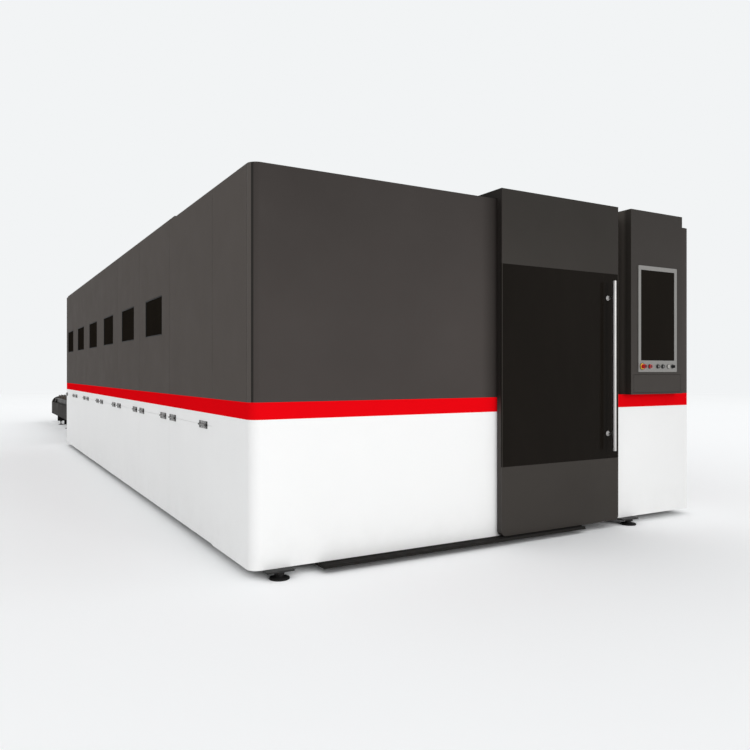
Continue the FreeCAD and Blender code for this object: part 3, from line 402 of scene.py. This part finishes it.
mat = {
    # The four dark coats are one paint; their colours differ by face as painted light and shade.
    "side_dark": paint("dark_coat_side", DARK_SIDE, 0.75, 0.03, tone=0.012),
    "front_dark": paint("dark_coat_front", DARK_FRONT, 0.60, 0.08, over=wall_paint),
    "door_dark": paint("dark_coat_door", DARK_DOOR, 0.60, 0.06, wear_and_highlight=0.35, over=door_paint),
    "console_dark": paint("dark_coat_console", DARK_CONSOLE, 0.60, 0.08, wear_and_highlight=0.30, over=console_paint),
    "white": paint("white_coat", WHITE, **WHITE_COAT),
    # Painted shade that darkens this white coat towards the right.
    "right_white": paint("white_coat_right", WHITE, **WHITE_COAT, over=shaded_right),
    "hinge_white": paint("white_coat_hinges", WHITE, **WHITE_COAT, over=hinge_paint),
    # Painted shade that darkens the red band towards the right.
    "red": paint("red_coat", RED, 0.60, 0.0, tone=0.03, wear_and_highlight=0.10, over=shaded_right),
    "black": paint("black_coat", BLACK, 0.58, 0.08, wear_and_highlight=0.5, radius=0.001),
    "trim": paint("trim_coat", (0.034, 0.030, 0.026), 0.60, 0.06, wear_and_highlight=0.10, radius=0.0008),
    "rail_black": paint("rail_coat", (0.0170, 0.0160, 0.0150), 0.70, 0.03, wear_and_highlight=0.10, radius=0.001),
    "pale": paint("pale_coat", (0.42, 0.42, 0.41), 0.5, 0.3, wear_and_highlight=0.2),
    "bed": paint("bed_coat", (0.105, 0.108, 0.112), 0.55, 0.3, peel=300.0, tone=0.10, wear_and_highlight=0.5, dust=0.4,
                 radius=0.002, over=foot_paint),
    "pallet": paint("pallet_coat", (0.040, 0.037, 0.035), 0.58, 0.3, peel=300.0, tone=0.12, wear_and_highlight=0.6,
                    radius=0.002),
    "table": paint("table_coat", (0.0240, 0.0208, 0.0186), 0.64, 0.05, peel=380.0, tone=0.08, wear_and_highlight=0.4,
                   radius=0.002, over=leg_paint),
    "raw": scorched("slat_steel", (0.150, 0.140, 0.130)),
    "ground": brushed("ground_steel", (0.56, 0.56, 0.57), 0.28, 1),
    "handle": brushed("handle_steel", (0.46, 0.445, 0.435), 0.38, 2, grain=600.0, tone=0.01, depth=0.02),
    "beam": brushed("beam_aluminium", (0.62, 0.63, 0.64), 0.42, 0, tone=0.05),
    "head": brushed("head_aluminium", (0.52, 0.53, 0.55), 0.38, 2, tone=0.06, over=nozzle_paint),
    "glass": dark_glass("door_tint", (0.0090, 0.0073, 0.0058), 0.10, 0.03),
    "pane": dark_glass("window_tint", (0.0105, 0.0085, 0.0065), 0.30, 0.0),
    "screen": dark_glass("screen_tint", (0.0080, 0.0062, 0.0044), 0.16, 0.02),
    "bezel": brushed("bezel_face", (0.210, 0.203, 0.193), 0.45, 0, metallic=0.2, grain=1500.0, tone=0.04),
    "red_cap": moulded("red_cap", (0.60, 0.012, 0.014), 0.32, 0.5),
    "yellow": moulded("yellow_ring", (0.93, 0.56, 0.060), 0.40, 0.45),
    "pale_cap": moulded("pale_cap", (0.33, 0.32, 0.30), 0.35, 0.4),
    "grey_cap": moulded("grey_cap", (0.16, 0.155, 0.15), 0.35, 0.4),
    "black_plastic": moulded("black_plastic", (0.018, 0.018, 0.018), 0.38, 0.45),
    "dark_red": moulded("dark_red_cap", (0.060, 0.006, 0.007), 0.35, 0.4),
    "key_plastic": moulded("key_plastic", (0.040, 0.040, 0.041), 0.55, 0.4),
    "rubber": moulded("rubber", (0.014, 0.014, 0.014), 0.70, 0.25, 700.0),
}

NODE_FINISH = {
    "side_dark": ["left_upper_wall", "right_upper_wall", "rear_upper_wall", "roof_panel", "roof_cover",
                  "shutter_guides", "rear_shutter"],
    "front_dark": ["front_left_upper_panel", "front_right_upper_panel", "door_frame"],
    "door_dark": ["door_leaf", "door_hood"],
    "console_dark": ["console_housing", "keyboard_drawer"],
    "white": ["front_left_lower_panel", "right_lower_wall", "rear_lower_panels"],
    "right_white": ["front_right_lower_panel"],
    "hinge_white": ["left_lower_frame"] + [f"access_flap_{i + 1}" for i in range(FLAPS)],
    "red": ["red_bands"],
    "rail_black": ["door_bottom_rail"],
    "black": ["levelling_feet", "door_track", "door_hangers"],
    "pale": ["control_cabinet", "laser_source"],
    "bed": ["bed_frame", "pallet_tracks", "gantry_end_carriages"],
    "pallet": ["upper_pallet_frame", "lower_pallet_frame"],
    "table": ["table_frame"],
    "raw": ["upper_pallet_slats", "lower_pallet_slats", "slag_trays"],
    "ground": ["guide_rails", "gear_racks", "cross_rails"],
    "handle": ["door_handle"],
    "beam": ["gantry_beam"],
    "head": ["cross_carriage", "cutting_head"],
    "glass": ["door_glass"],
    "pane": ["window_panes"],
    "screen": ["console_screen"],
    "bezel": ["console_bezel"],
    "red_cap": ["emergency_stop", "red_button"],
    "yellow": ["stop_collar"],
    "pale_cap": ["pale_button"],
    "black_plastic": ["key_switch", "ring_button_left", "ring_button_right"],
}
for finish, names in NODE_FINISH.items():
    for name in names:
        materials = nodes[name].data.materials
        if not materials:
            materials.append(mat[finish])
        for i in range(len(materials)):
            materials[i] = mat[finish]


# ---- piece helpers ---------------------------------------------------------------------------------------
ACROSS, BACK, UP = Vector((1, 0, 0)), Vector((0, 1, 0)), Vector((0, 0, 1))


def new_piece(name, body, finish, fill, smooth=True):
    """A mesh made by `fill`, which rides on a body."""
    mesh = bpy.data.meshes.new(name)
    bm = bmesh.new()
    fill(bm)
    bmesh.ops.recalc_face_normals(bm, faces=bm.faces)
    bm.to_mesh(mesh)
    bm.free()
    mesh.materials.append(mat[finish])
    if smooth:
        for face in mesh.polygons:
            face.use_smooth = True
        mesh.set_sharp_from_angle(angle=math.radians(32))
    piece = bpy.data.objects.new(name, mesh)
    bpy.context.scene.collection.objects.link(piece)
    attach(piece, body)
    return piece


def add_block(bm, low, high, bevel):
    """Block between two corners, given as vectors, with rounded edges."""
    low, high = Vector(low), Vector(high)
    form = Matrix.Translation((low + high) / 2) @ Matrix.Diagonal((*(high - low), 1.0))
    made = bmesh.ops.create_cube(bm, size=1.0, matrix=form)
    edges = {e for v in made["verts"] for e in v.link_edges}
    bmesh.ops.bevel(bm, geom=list(edges), offset=bevel, segments=2, affect="EDGES", profile=0.5)


def spokes(axis, count, turn=0.0):
    """Unit vectors at right angles to an axis, evenly spread round it."""
    side = axis.orthogonal().normalized()
    other = axis.cross(side)
    angles = [turn + 2 * math.pi * i / count for i in range(count)]
    return [side * math.cos(a) + other * math.sin(a) for a in angles]


def add_turned(bm, centre, axis, profile, segments=40):
    """Turn a profile of (radius, place along the axis) about an axis through `centre`."""
    axis = Vector(axis).normalized()
    directions = spokes(axis, segments)
    rings = []
    for radius, along in profile:
        middle = centre + axis * along
        if radius < 1e-6:
            rings.append([bm.verts.new(middle)])
        else:
            rings.append([bm.verts.new(middle + direction * radius) for direction in directions])
    for a, b in zip(rings, rings[1:]):
        for i in range(segments):
            j = (i + 1) % segments
            corners = [a[i % len(a)], a[j % len(a)], b[j % len(b)], b[i % len(b)]]
            unique = list(dict.fromkeys(corners))
            if len(unique) > 2:
                bm.faces.new(unique)


def add_prism(bm, points, along):
    """Extrude a closed outline."""
    front = [bm.verts.new(p) for p in points]
    back = [bm.verts.new(p + along) for p in points]
    bm.faces.new(front)
    bm.faces.new(back[::-1])
    for i in range(len(points)):
        j = (i + 1) % len(points)
        bm.faces.new((front[i], front[j], back[j], back[i]))


def add_nut(bm, centre, radius, height):
    """Upright hexagon nut."""
    add_prism(bm, [centre + direction * radius for direction in spokes(UP, 6, 0.3)], UP * height)


def ring_profile(inner, outer, start, end, edge=0.0006):
    """Closed section of a ring with broken edges."""
    return [(inner, start), (outer - edge, start), (outer, start + edge), (outer, end - edge),
            (outer - edge, end), (inner + edge, end), (inner, end - edge), (inner, start)]


SCREW_HEAD = [(0.0, -0.0006), (0.0040, -0.0006), (0.0040, 0.0010), (0.0033, 0.0016), (0.0018, 0.0016),
              (0.0018, 0.0004), (0.0, 0.0004)]
SCREW_SIDES = 12

# ---- slats -----------------------------------------------------------------------------------------------
SLAT_THICKNESS = 0.006
SLAT_PITCH = 0.150
TOOTH_PITCH = 0.060
TOOTH_DEPTH = 0.036
TOOTH_FLAT = 0.001             # half of the blunt tip of a point
TOOTH_WEAR = 0.010             # how far a point can be burnt down
HOLLOW = ((0.14, 0.42), (0.32, 0.86), (0.50, 1.0), (0.68, 0.86), (0.86, 0.42))    # shares of pitch and depth


def toothed_outline(low, high, y):
    """Slat seen from the front: straight foot, and worn points with round hollows between them."""
    count = round((high.x - low.x) / TOOTH_PITCH)
    pitch = (high.x - low.x) / count
    points = [Vector((high.x, y, low.z)), Vector((low.x, y, low.z))]
    for i in range(count):
        left = low.x + i * pitch
        tip = high.z - rng.random() ** 3 * TOOTH_WEAR
        points.append(Vector((left + TOOTH_FLAT, y, high.z - rng.random() ** 3 * TOOTH_WEAR)))
        for share, drop in HOLLOW:
            points.append(Vector((left + share * pitch, y, tip - TOOTH_DEPTH * drop)))
        points.append(Vector((left + pitch - TOOTH_FLAT, y, tip)))
    return points


def make_slats(name, node, body):
    low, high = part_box(node)
    count = round((high.y - low.y - SLAT_THICKNESS) / SLAT_PITCH) + 1

    def fill(bm):
        for i in range(count):
            outline = toothed_outline(low, high, low.y + i * SLAT_PITCH)
            add_prism(bm, outline, BACK * SLAT_THICKNESS)

    slats = new_piece(name, body, "raw", fill, smooth=False)
    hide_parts(node)


make_slats("upper_toothed_slats", "upper_pallet_slats", "upper_pallet")
make_slats("lower_toothed_slats", "lower_pallet_slats", "lower_pallet")

# ---- feet ------------------------------------------------------------------------------------------------
# Places for at().
BEAM_LINES = (160, 3040)
FRONT_FEET = -33
BED_PADS = (2400, 4500, 6600, 8300)
LEG_LINES = (425, 2775)
TABLE_LEGS = (9670, 10920, 12170, 13420)

FRONT_FOOT = [(0.0, 0.0), (0.057, 0.0), (0.059, 0.002), (0.059, 0.006), (0.056, 0.0095), (0.048, 0.0115),
              (0.031, 0.012), (0.029, 0.0135), (0.025, 0.015)]
TABLE_FOOT = [(0.0, 0.0), (0.048, 0.0), (0.050, 0.002), (0.050, 0.006), (0.047, 0.010), (0.024, 0.013),
              (0.018, 0.020), (0.012, 0.022)]
FRONT_NUT = (0.034, 0.0108)    # radius and height
TABLE_NUT = (0.021, 0.0138)
PAD_STEPS = ((0.055, 0.075, 0.0, 0.018), (0.045, 0.060, 0.018, 0.050))    # half sizes, bottom and top


def threaded(start, end, radius, pitch, depth):
    """Profile of a threaded rod, as rings, closed on top."""
    profile, z = [], start
    while z + pitch < end:
        profile += [(radius, z), (radius, z + 0.35 * pitch), (radius - depth, z + 0.7 * pitch)]
        z += pitch
    return profile + [(radius, end), (0.0, end)]


def make_feet():
    """Round feet with threads and nuts, and square pads under the bed."""
    front_profile = FRONT_FOOT + threaded(0.015, 0.040, 0.0225, 0.0035, 0.0012)
    table_profile = TABLE_FOOT + threaded(0.024, 0.088, 0.012, 0.004, 0.0014)

    def fill(bm):
        for x in BEAM_LINES:
            foot = at(x, FRONT_FEET, 0)
            add_turned(bm, foot, UP, front_profile)
            add_nut(bm, foot + UP * 0.029, *FRONT_NUT)
            for y in BED_PADS:
                pad = at(x, y, 0)
                for half_x, half_y, bottom, top in PAD_STEPS:
                    add_block(bm, pad + Vector((-half_x, -half_y, bottom)),
                              pad + Vector((half_x, half_y, top)), 0.002)
        for y in TABLE_LEGS:
            for x in LEG_LINES:
                foot = at(x, y, 0)
                add_turned(bm, foot, UP, table_profile, 28)
                add_nut(bm, foot + UP * 0.074, *TABLE_NUT)

    feet = new_piece("feet", "machine", "black", fill)
    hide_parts("levelling_feet")


make_feet()

# ---- windows and hinges of the left wall -----------------------------------------------------------------
# Places for at().
WINDOW_BAYS = range(1, 7)      # the first bay has no window
HALF_WINDOW = 310
PIN_STANDOFF, LEAF_FACE = -8, -5
PIN_HEIGHT, UPPER_SCREWS, LOWER_SCREWS = 822, 838.5, 805.5
SCREW_OFFSETS = (-72, -24, 24, 72)

GASKET_SETBACK = 0.0012        # gasket behind the outer face of the wall
GASKET_WIDTH = 0.009
PIN = [(0.0, -0.0916), (0.0034, -0.0916), (0.0042, -0.0908), (0.0042, 0.0908), (0.0034, 0.0916),
       (0.0, 0.0916)]


def make_gaskets():
    """Rubber profile round each pane, in front of it."""
    low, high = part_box("window_panes")
    low_in, high_in = low.z + GASKET_WIDTH, high.z - GASKET_WIDTH

    def fill(bm):
        for i in WINDOW_BAYS:
            middle = (SEAMS[i] + SEAMS[i + 1]) / 2
            start, end = at(0, middle - HALF_WINDOW, 0).y, at(0, middle + HALF_WINDOW, 0).y
            for y0, z0, y1, z1 in ((start, low.z, end, low_in), (start, high_in, end, high.z),
                                   (start, low_in, start + GASKET_WIDTH, high_in),
                                   (end - GASKET_WIDTH, low_in, end, high_in)):
                add_block(bm, (shell_low.x + GASKET_SETBACK, y0, z0), (low.x, y1, z1), 0.0012)

    new_piece("window_gaskets", "machine", "rubber", fill)


def add_screws(bm, middles, height):
    """Row of screw heads on each hinge leaf."""
    for middle in middles:
        for offset in SCREW_OFFSETS:
            add_turned(bm, at(LEAF_FACE, middle + offset, height), -ACROSS, SCREW_HEAD, SCREW_SIDES)


def make_hinge_details():
    """Pin ends and screws. The upper leaf stays on the wall, the lower one moves with its flap."""
    def fill_pins(bm):
        for middle in HINGE_MIDDLES:
            add_turned(bm, at(PIN_STANDOFF, middle, PIN_HEIGHT), BACK, PIN, 14)

    new_piece("hinge_pins", "machine", "black", fill_pins)
    new_piece("upper_leaf_screws", "machine", "ground",
              lambda bm: add_screws(bm, HINGE_MIDDLES, UPPER_SCREWS))
    for i in range(FLAPS):
        middles = HINGE_MIDDLES[2 * i:2 * i + 2]
        new_piece(f"lower_leaf_screws_{i + 1}", f"flap_{i + 1}", "ground",
                  lambda bm: add_screws(bm, middles, LOWER_SCREWS))


make_gaskets()
make_hinge_details()

# ---- door ------------------------------------------------------------------------------------------------
TRIM_START, TRIM_END = 0.0003, 0.0062       # from the glass's edge
TRIM_INSET = 0.001             # at the top and bottom, and into the glass
TRIM_THICKNESS = 0.0012


def make_glass_trims():
    """Slim edge strips left and right of the door's glass."""
    low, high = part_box("door_glass")

    def fill(bm):
        for left, right in ((low.x + TRIM_START, low.x + TRIM_END),
                            (high.x - TRIM_END, high.x - TRIM_START)):
            add_block(bm, (left, low.y - TRIM_THICKNESS, low.z + TRIM_INSET),
                      (right, low.y + TRIM_INSET, high.z - TRIM_INSET), 0.0005)

    new_piece("glass_trims", "door", "trim", fill)


make_glass_trims()

# ---- operator console ------------------------------------------------------------------------------------
bezel_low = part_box("console_bezel")[0]
BUTTON_Z = 1.219
BUTTON_X = {"stop": 0.041, "red": 0.126, "ring_left": 0.221, "ring_right": 0.279, "pale": 0.345,
            "key": 0.396}
SMALL_RING = (0.0145, 0.0172, 0.0034, 40)   # inner and outer radius, height and sides
RINGS = {"stop": (0.0234, 0.0262, 0.0045, 48), "red": SMALL_RING, "ring_left": SMALL_RING,
         "ring_right": SMALL_RING, "pale": SMALL_RING, "key": (0.0125, 0.0165, 0.0040, 40)}
# Button, its node, body, finish, slot, radius, and start and end behind the button's front.
FACES = (
    ("stop", "emergency_stop", "stop", "dark_red", "red_plastic", 0.0122, -0.0010, 0.0004),
    ("red", "red_button", "red_push", "dark_red", "red_plastic", 0.0112, -0.0008, 0.0004),
    ("ring_left", "ring_button_left", "ring_push_left", "grey_cap", "pale_plastic",
     0.0073, 0.0002, 0.0010),
    ("ring_right", "ring_button_right", "ring_push_right", "grey_cap", "pale_plastic",
     0.0073, 0.0002, 0.0010),
)


def button_centre(name):
    """Where the axis of a button meets the face of the bezel."""
    return Vector((bezel_low.x + BUTTON_X[name], bezel_low.y, BUTTON_Z))


def make_button_details():
    """A ring round each button, and a lens or plate on the front of some."""
    def fill_rings(bm):
        for name, (inner, outer, height, sides) in RINGS.items():
            add_turned(bm, button_centre(name), -BACK, ring_profile(inner, outer, 0.0, height), sides)

    new_piece("button_rings", "machine", "black_plastic", fill_rings)
    for name, button, body, finish, slot, radius, start, end in FACES:
        centre = button_centre(name)
        centre.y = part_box(button)[0].y
        profile = [(0.0, start), (radius - 0.0005, start), (radius, start + 0.0004), (radius, end),
                   (0.0, end)]
        new_piece(f"{button}_face", body, finish,
                  lambda bm: add_turned(bm, centre, BACK, profile, 36))


KEY_COLUMNS, KEY_ROWS, KEY_STEP = 22, 6, 0.019
KEY_GAPS = (15, 18)            # columns without keys
KEY_GAP = 0.001                # between two keys
ROW_RISE = 0.0008              # each row stands this much higher than the one in front


def make_keyboard():
    """Keyboard with plain keys, in the drawer's tray."""
    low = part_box("keyboard_drawer")[0]
    left, front, base = low.x + 0.066, low.y + 0.045, low.z + 0.0145

    def fill_body(bm):
        far = (left + KEY_COLUMNS * KEY_STEP + 0.014, front + KEY_ROWS * KEY_STEP + 0.020, base + 0.014)
        add_block(bm, (left, front, base), far, 0.003)

    def add_key(bm, x, y, top):
        """Key that narrows towards its top."""
        corners = []
        for z, inset in ((base + 0.013, 0.0008), (top, 0.0030)):
            a, b = x + inset, x + KEY_STEP - KEY_GAP - inset
            c, d = y + inset, y + KEY_STEP - KEY_GAP - inset
            corners.append([bm.verts.new((px, py, z)) for px, py in ((a, c), (b, c), (b, d), (a, d))])
        bm.faces.new(corners[1])
        bm.faces.new(corners[0][::-1])
        for i in range(4):
            j = (i + 1) % 4
            bm.faces.new((corners[0][i], corners[0][j], corners[1][j], corners[1][i]))

    def fill_keys(bm):
        for column in range(KEY_COLUMNS):
            if column in KEY_GAPS:
                continue
            for row in range(KEY_ROWS):
                add_key(bm, left + 0.007 + column * KEY_STEP, front + 0.008 + row * KEY_STEP,
                        base + 0.021 + ROW_RISE * row)

    new_piece("keyboard_body", "drawer", "black_plastic", fill_body)
    new_piece("keyboard_keys", "drawer", "key_plastic", fill_keys, smooth=False)


make_button_details()
make_keyboard()

# ---- cutting head ----------------------------------------------------------------------------------------
BARREL_START = 0.060           # above the nozzle's tip
CLAMP_BORE = 0.0355
CLAMPS = ((0.006, 0.020, 0.0385), (0.052, 0.060, 0.0375), (0.092, 0.108, 0.0395))    # start, end and radius
LENS_DRAWERS = (0.026, 0.066)


def make_head_details():
    """Clamping rings and lens drawers of the cutting head."""
    low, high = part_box("cutting_head")
    barrel = Vector(((low.x + high.x) / 2, (low.y + high.y) / 2, low.z + BARREL_START))

    def fill_rings(bm):
        for start, end, outer in CLAMPS:
            add_turned(bm, barrel, UP, ring_profile(CLAMP_BORE, outer, start, end, 0.0012), 48)

    def fill_drawers(bm):
        for z in LENS_DRAWERS:
            add_block(bm, barrel + Vector((-0.030, -0.047, z)), barrel + Vector((0.030, -0.030, z + 0.020)),
                      0.002)
            add_block(bm, barrel + Vector((-0.008, -0.052, z + 0.006)),
                      barrel + Vector((0.008, -0.046, z + 0.014)), 0.0015)

    new_piece("head_rings", "head", "black_plastic", fill_rings)
    new_piece("lens_drawers", "head", "head", fill_drawers)


make_head_details()

# ---- exchange table --------------------------------------------------------------------------------------
CHANNEL_TIPS = ((420, 1), (2780, -1))       # inner edges of the channels, for at(), and the way inwards
PALLET_UNDERSIDE = 0.015       # pallet frame above its wheels' running face
GUARD_SHEET = 0.003
GUARD_REACH = 0.022
GUARD_SCREWS = 24
GUARD_SCREW_INSET = 0.13       # first and last screw from the guard's ends


def make_chain_guards():
    """Angles along the inner edges of the table's channels, which cover the drive chain."""
    low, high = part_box("table_frame")
    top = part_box("upper_pallet_frame")[0].z + PALLET_UNDERSIDE - 0.004
    start, end = low.y + 0.095, high.y - 0.070
    step = (end - start - 2 * GUARD_SCREW_INSET) / (GUARD_SCREWS - 1)

    def fill(bm):
        for tip, inward in CHANNEL_TIPS:
            edge = at(tip, 0, 0).x
            for reach, bottom in ((GUARD_REACH, top - GUARD_SHEET), (GUARD_SHEET, CHANNEL_TOP - 0.030)):
                a, b = sorted((edge, edge + inward * reach))
                add_block(bm, (a, start, bottom), (b, end, top), 0.0006)
            for i in range(GUARD_SCREWS):
                screw = Vector((edge + inward * GUARD_SHEET, start + GUARD_SCREW_INSET + i * step,
                                CHANNEL_TOP - 0.016))
                add_turned(bm, screw, ACROSS * inward, SCREW_HEAD, SCREW_SIDES)

    new_piece("chain_guards", "machine", "black", fill)


make_chain_guards()

# ---- control cabinet and laser source --------------------------------------------------------------------
# Both stand on the right of the aisle and turn their fronts to the left.
LOUVRE_WIDTH, LOUVRE_SPACING, LOUVRE_PITCH = 0.120, 0.150, 0.024
LOUVRE = ((0.0, 0.0), (0.007, 0.002), (0.001, 0.013), (0.0, 0.014))    # section: out of the sheet and up
DOOR_THICKNESS = 0.018
DOOR_HINGES = (0.22, 0.90, 1.58)            # above the cabinet's foot
HINGE_PIN = [(0.0, -0.030), (0.0075, -0.030), (0.0085, -0.028), (0.0085, 0.028), (0.0075, 0.030),
             (0.0, 0.030)]
PANEL_THICKNESS = 0.012
GRIP_LENGTH, GRIP_REACH, GRIP_DROP = 0.120, 0.034, 0.160
GRIP_POST = [(0.0, 0.0), (0.006, 0.0), (0.006, GRIP_REACH), (0.0, GRIP_REACH)]
GRIP = [(0.0, 0.0), (0.006, 0.001), (0.007, 0.004), (0.007, 0.140), (0.006, 0.143), (0.0, 0.144)]


def add_grille(bm, corner, across, out, columns, rows):
    """Pressed louvres in columns and rows, from their lower corner."""
    for column in range(columns):
        for row in range(rows):
            foot = corner + across * (column * LOUVRE_SPACING) + UP * (row * LOUVRE_PITCH)
            add_prism(bm, [foot + out * reach + UP * rise for reach, rise in LOUVRE], across * LOUVRE_WIDTH)


def make_cabinet_details():
    """Doors with swing handles on the aisle side, hinges and louvres."""
    low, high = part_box("control_cabinet")
    middle = (low.y + high.y) / 2
    face = low.x - DOOR_THICKNESS

    def fill_doors(bm):
        for start, end in ((low.y + 0.012, middle - 0.002), (middle + 0.002, high.y - 0.012)):
            add_block(bm, (face, start, low.z + 0.060), (low.x, end, high.z - 0.012), 0.003)
            corner = Vector((face, (start + end) / 2 - 0.210, low.z + 0.140))
            add_grille(bm, corner, BACK, -ACROSS, 3, 8)
            add_grille(bm, corner + UP * 1.36, BACK, -ACROSS, 3, 8)
        add_grille(bm, Vector((low.x + 0.120, low.y, low.z + 0.160)), ACROSS, -BACK, 2, 12)

    def fill_handles(bm):
        for y in (middle - 0.052, middle + 0.024):
            base = Vector((face, y, low.z + 0.860))
            add_block(bm, base + Vector((-0.012, 0, 0)), base + Vector((0, 0.028, 0.180)), 0.003)
            add_block(bm, base + Vector((-0.024, 0.005, 0.030)),
                      base + Vector((-0.011, 0.023, 0.165)), 0.004)
        for y in (low.y + 0.006, high.y - 0.006):
            for z in DOOR_HINGES:
                add_turned(bm, Vector((low.x - 0.010, y, low.z + z)), UP, HINGE_PIN, 20)

    new_piece("cabinet_doors", "machine", "pale", fill_doors)
    new_piece("cabinet_handles", "machine", "black_plastic", fill_handles)


def make_source_details():
    """Front panel with louvres and two carrying handles on the laser source."""
    low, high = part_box("laser_source")
    face = low.x - PANEL_THICKNESS

    def fill_panel(bm):
        add_block(bm, (face, low.y + 0.020, low.z + 0.080), (low.x, high.y - 0.020, high.z - 0.020), 0.003)
        for start in (low.y + 0.150, high.y - 0.570):
            add_grille(bm, Vector((face, start, low.z + 0.200)), BACK, -ACROSS, 3, 14)

    def fill_handles(bm):
        for y in (low.y + 0.280, high.y - 0.400):
            for offset in (0.0, GRIP_LENGTH):
                add_turned(bm, Vector((face, y + offset, high.z - GRIP_DROP)), -ACROSS, GRIP_POST, 16)
            grip = Vector((face - GRIP_REACH, y - 0.012, high.z - GRIP_DROP))
            add_turned(bm, grip, BACK, GRIP, 20)

    new_piece("source_panel", "machine", "pale", fill_panel)
    new_piece("source_handles", "machine", "black_plastic", fill_handles)


make_cabinet_details()
make_source_details()


# ---- floor, world and lamp -------------------------------------------------------------------------------
def make_floor():
    """Pale floor that fades into the backdrop far from the machine."""
    mesh = bpy.data.meshes.new("floor")
    bm = bmesh.new()
    bmesh.ops.create_circle(bm, cap_ends=True, segments=96, radius=60.0)
    bm.to_mesh(mesh)
    bm.free()
    floor = bpy.data.objects.new("floor", mesh)
    bpy.context.scene.collection.objects.link(floor)
    s = Shader("floor", 0.9, 0.0, 0.0)
    slow = s.span(s.noise(0.16, 2.0), 0.35, 0.65)
    s.feed(s.bsdf.inputs["Base Color"], s.mix(slow, (0.972, 0.979, 0.984, 1.0), (0.980, 0.987, 0.991, 1.0)))
    clear = s.add("ShaderNodeBsdfTransparent")
    blend = s.add("ShaderNodeMixShader")
    length = s.add("ShaderNodeVectorMath", operation="LENGTH")
    s.feed(length.inputs[0], s.place)
    s.feed(blend.inputs[0], s.span(length.outputs["Value"], 15.0, 34.0))
    s.feed(blend.inputs[1], s.bsdf.outputs[0])
    s.feed(blend.inputs[2], clear.outputs[0])
    s.feed(s.tree.nodes["Material Output"].inputs["Surface"], blend.outputs[0])
    mesh.materials.append(s.material)


def make_world():
    """An even pale sky. Camera, glossy and transmitted rays see the pale backdrop."""
    world = bpy.data.worlds.new("studio")
    world.use_nodes = True
    bpy.context.scene.world = world
    tree = world.node_tree
    light = tree.nodes["Background"]
    light.inputs["Color"].default_value = (0.985, 0.993, 1.0, 1.0)
    light.inputs["Strength"].default_value = 0.93
    shown = tree.nodes.new("ShaderNodeBackground")
    shown.inputs["Color"].default_value = (0.888, 0.904, 0.913, 1.0)
    shown.inputs["Strength"].default_value = 1.0
    path = tree.nodes.new("ShaderNodeLightPath")
    either = path.outputs["Is Camera Ray"]
    for ray in ("Is Glossy Ray", "Is Transmission Ray"):
        top = tree.nodes.new("ShaderNodeMath")
        top.operation = "MAXIMUM"
        tree.links.new(either, top.inputs[0])
        tree.links.new(path.outputs[ray], top.inputs[1])
        either = top.outputs[0]
    blend = tree.nodes.new("ShaderNodeMixShader")
    tree.links.new(either, blend.inputs[0])
    tree.links.new(light.outputs[0], blend.inputs[1])
    tree.links.new(shown.outputs[0], blend.inputs[2])
    tree.links.new(blend.outputs[0], tree.nodes["World Output"].inputs["Surface"])


def make_lamp():
    """A wide, soft sun low in front of the machine, a little to the right."""
    lamp = bpy.data.lights.new("front_light", "SUN")
    lamp.energy = 0.87
    lamp.angle = math.radians(26)
    lamp.color = (1.0, 0.996, 0.990)
    front_light = bpy.data.objects.new("front_light", lamp)
    bpy.context.scene.collection.objects.link(front_light)
    front_light.rotation_euler = (math.radians(90 - 11), 0, math.radians(13))


make_floor()
make_world()
make_lamp()
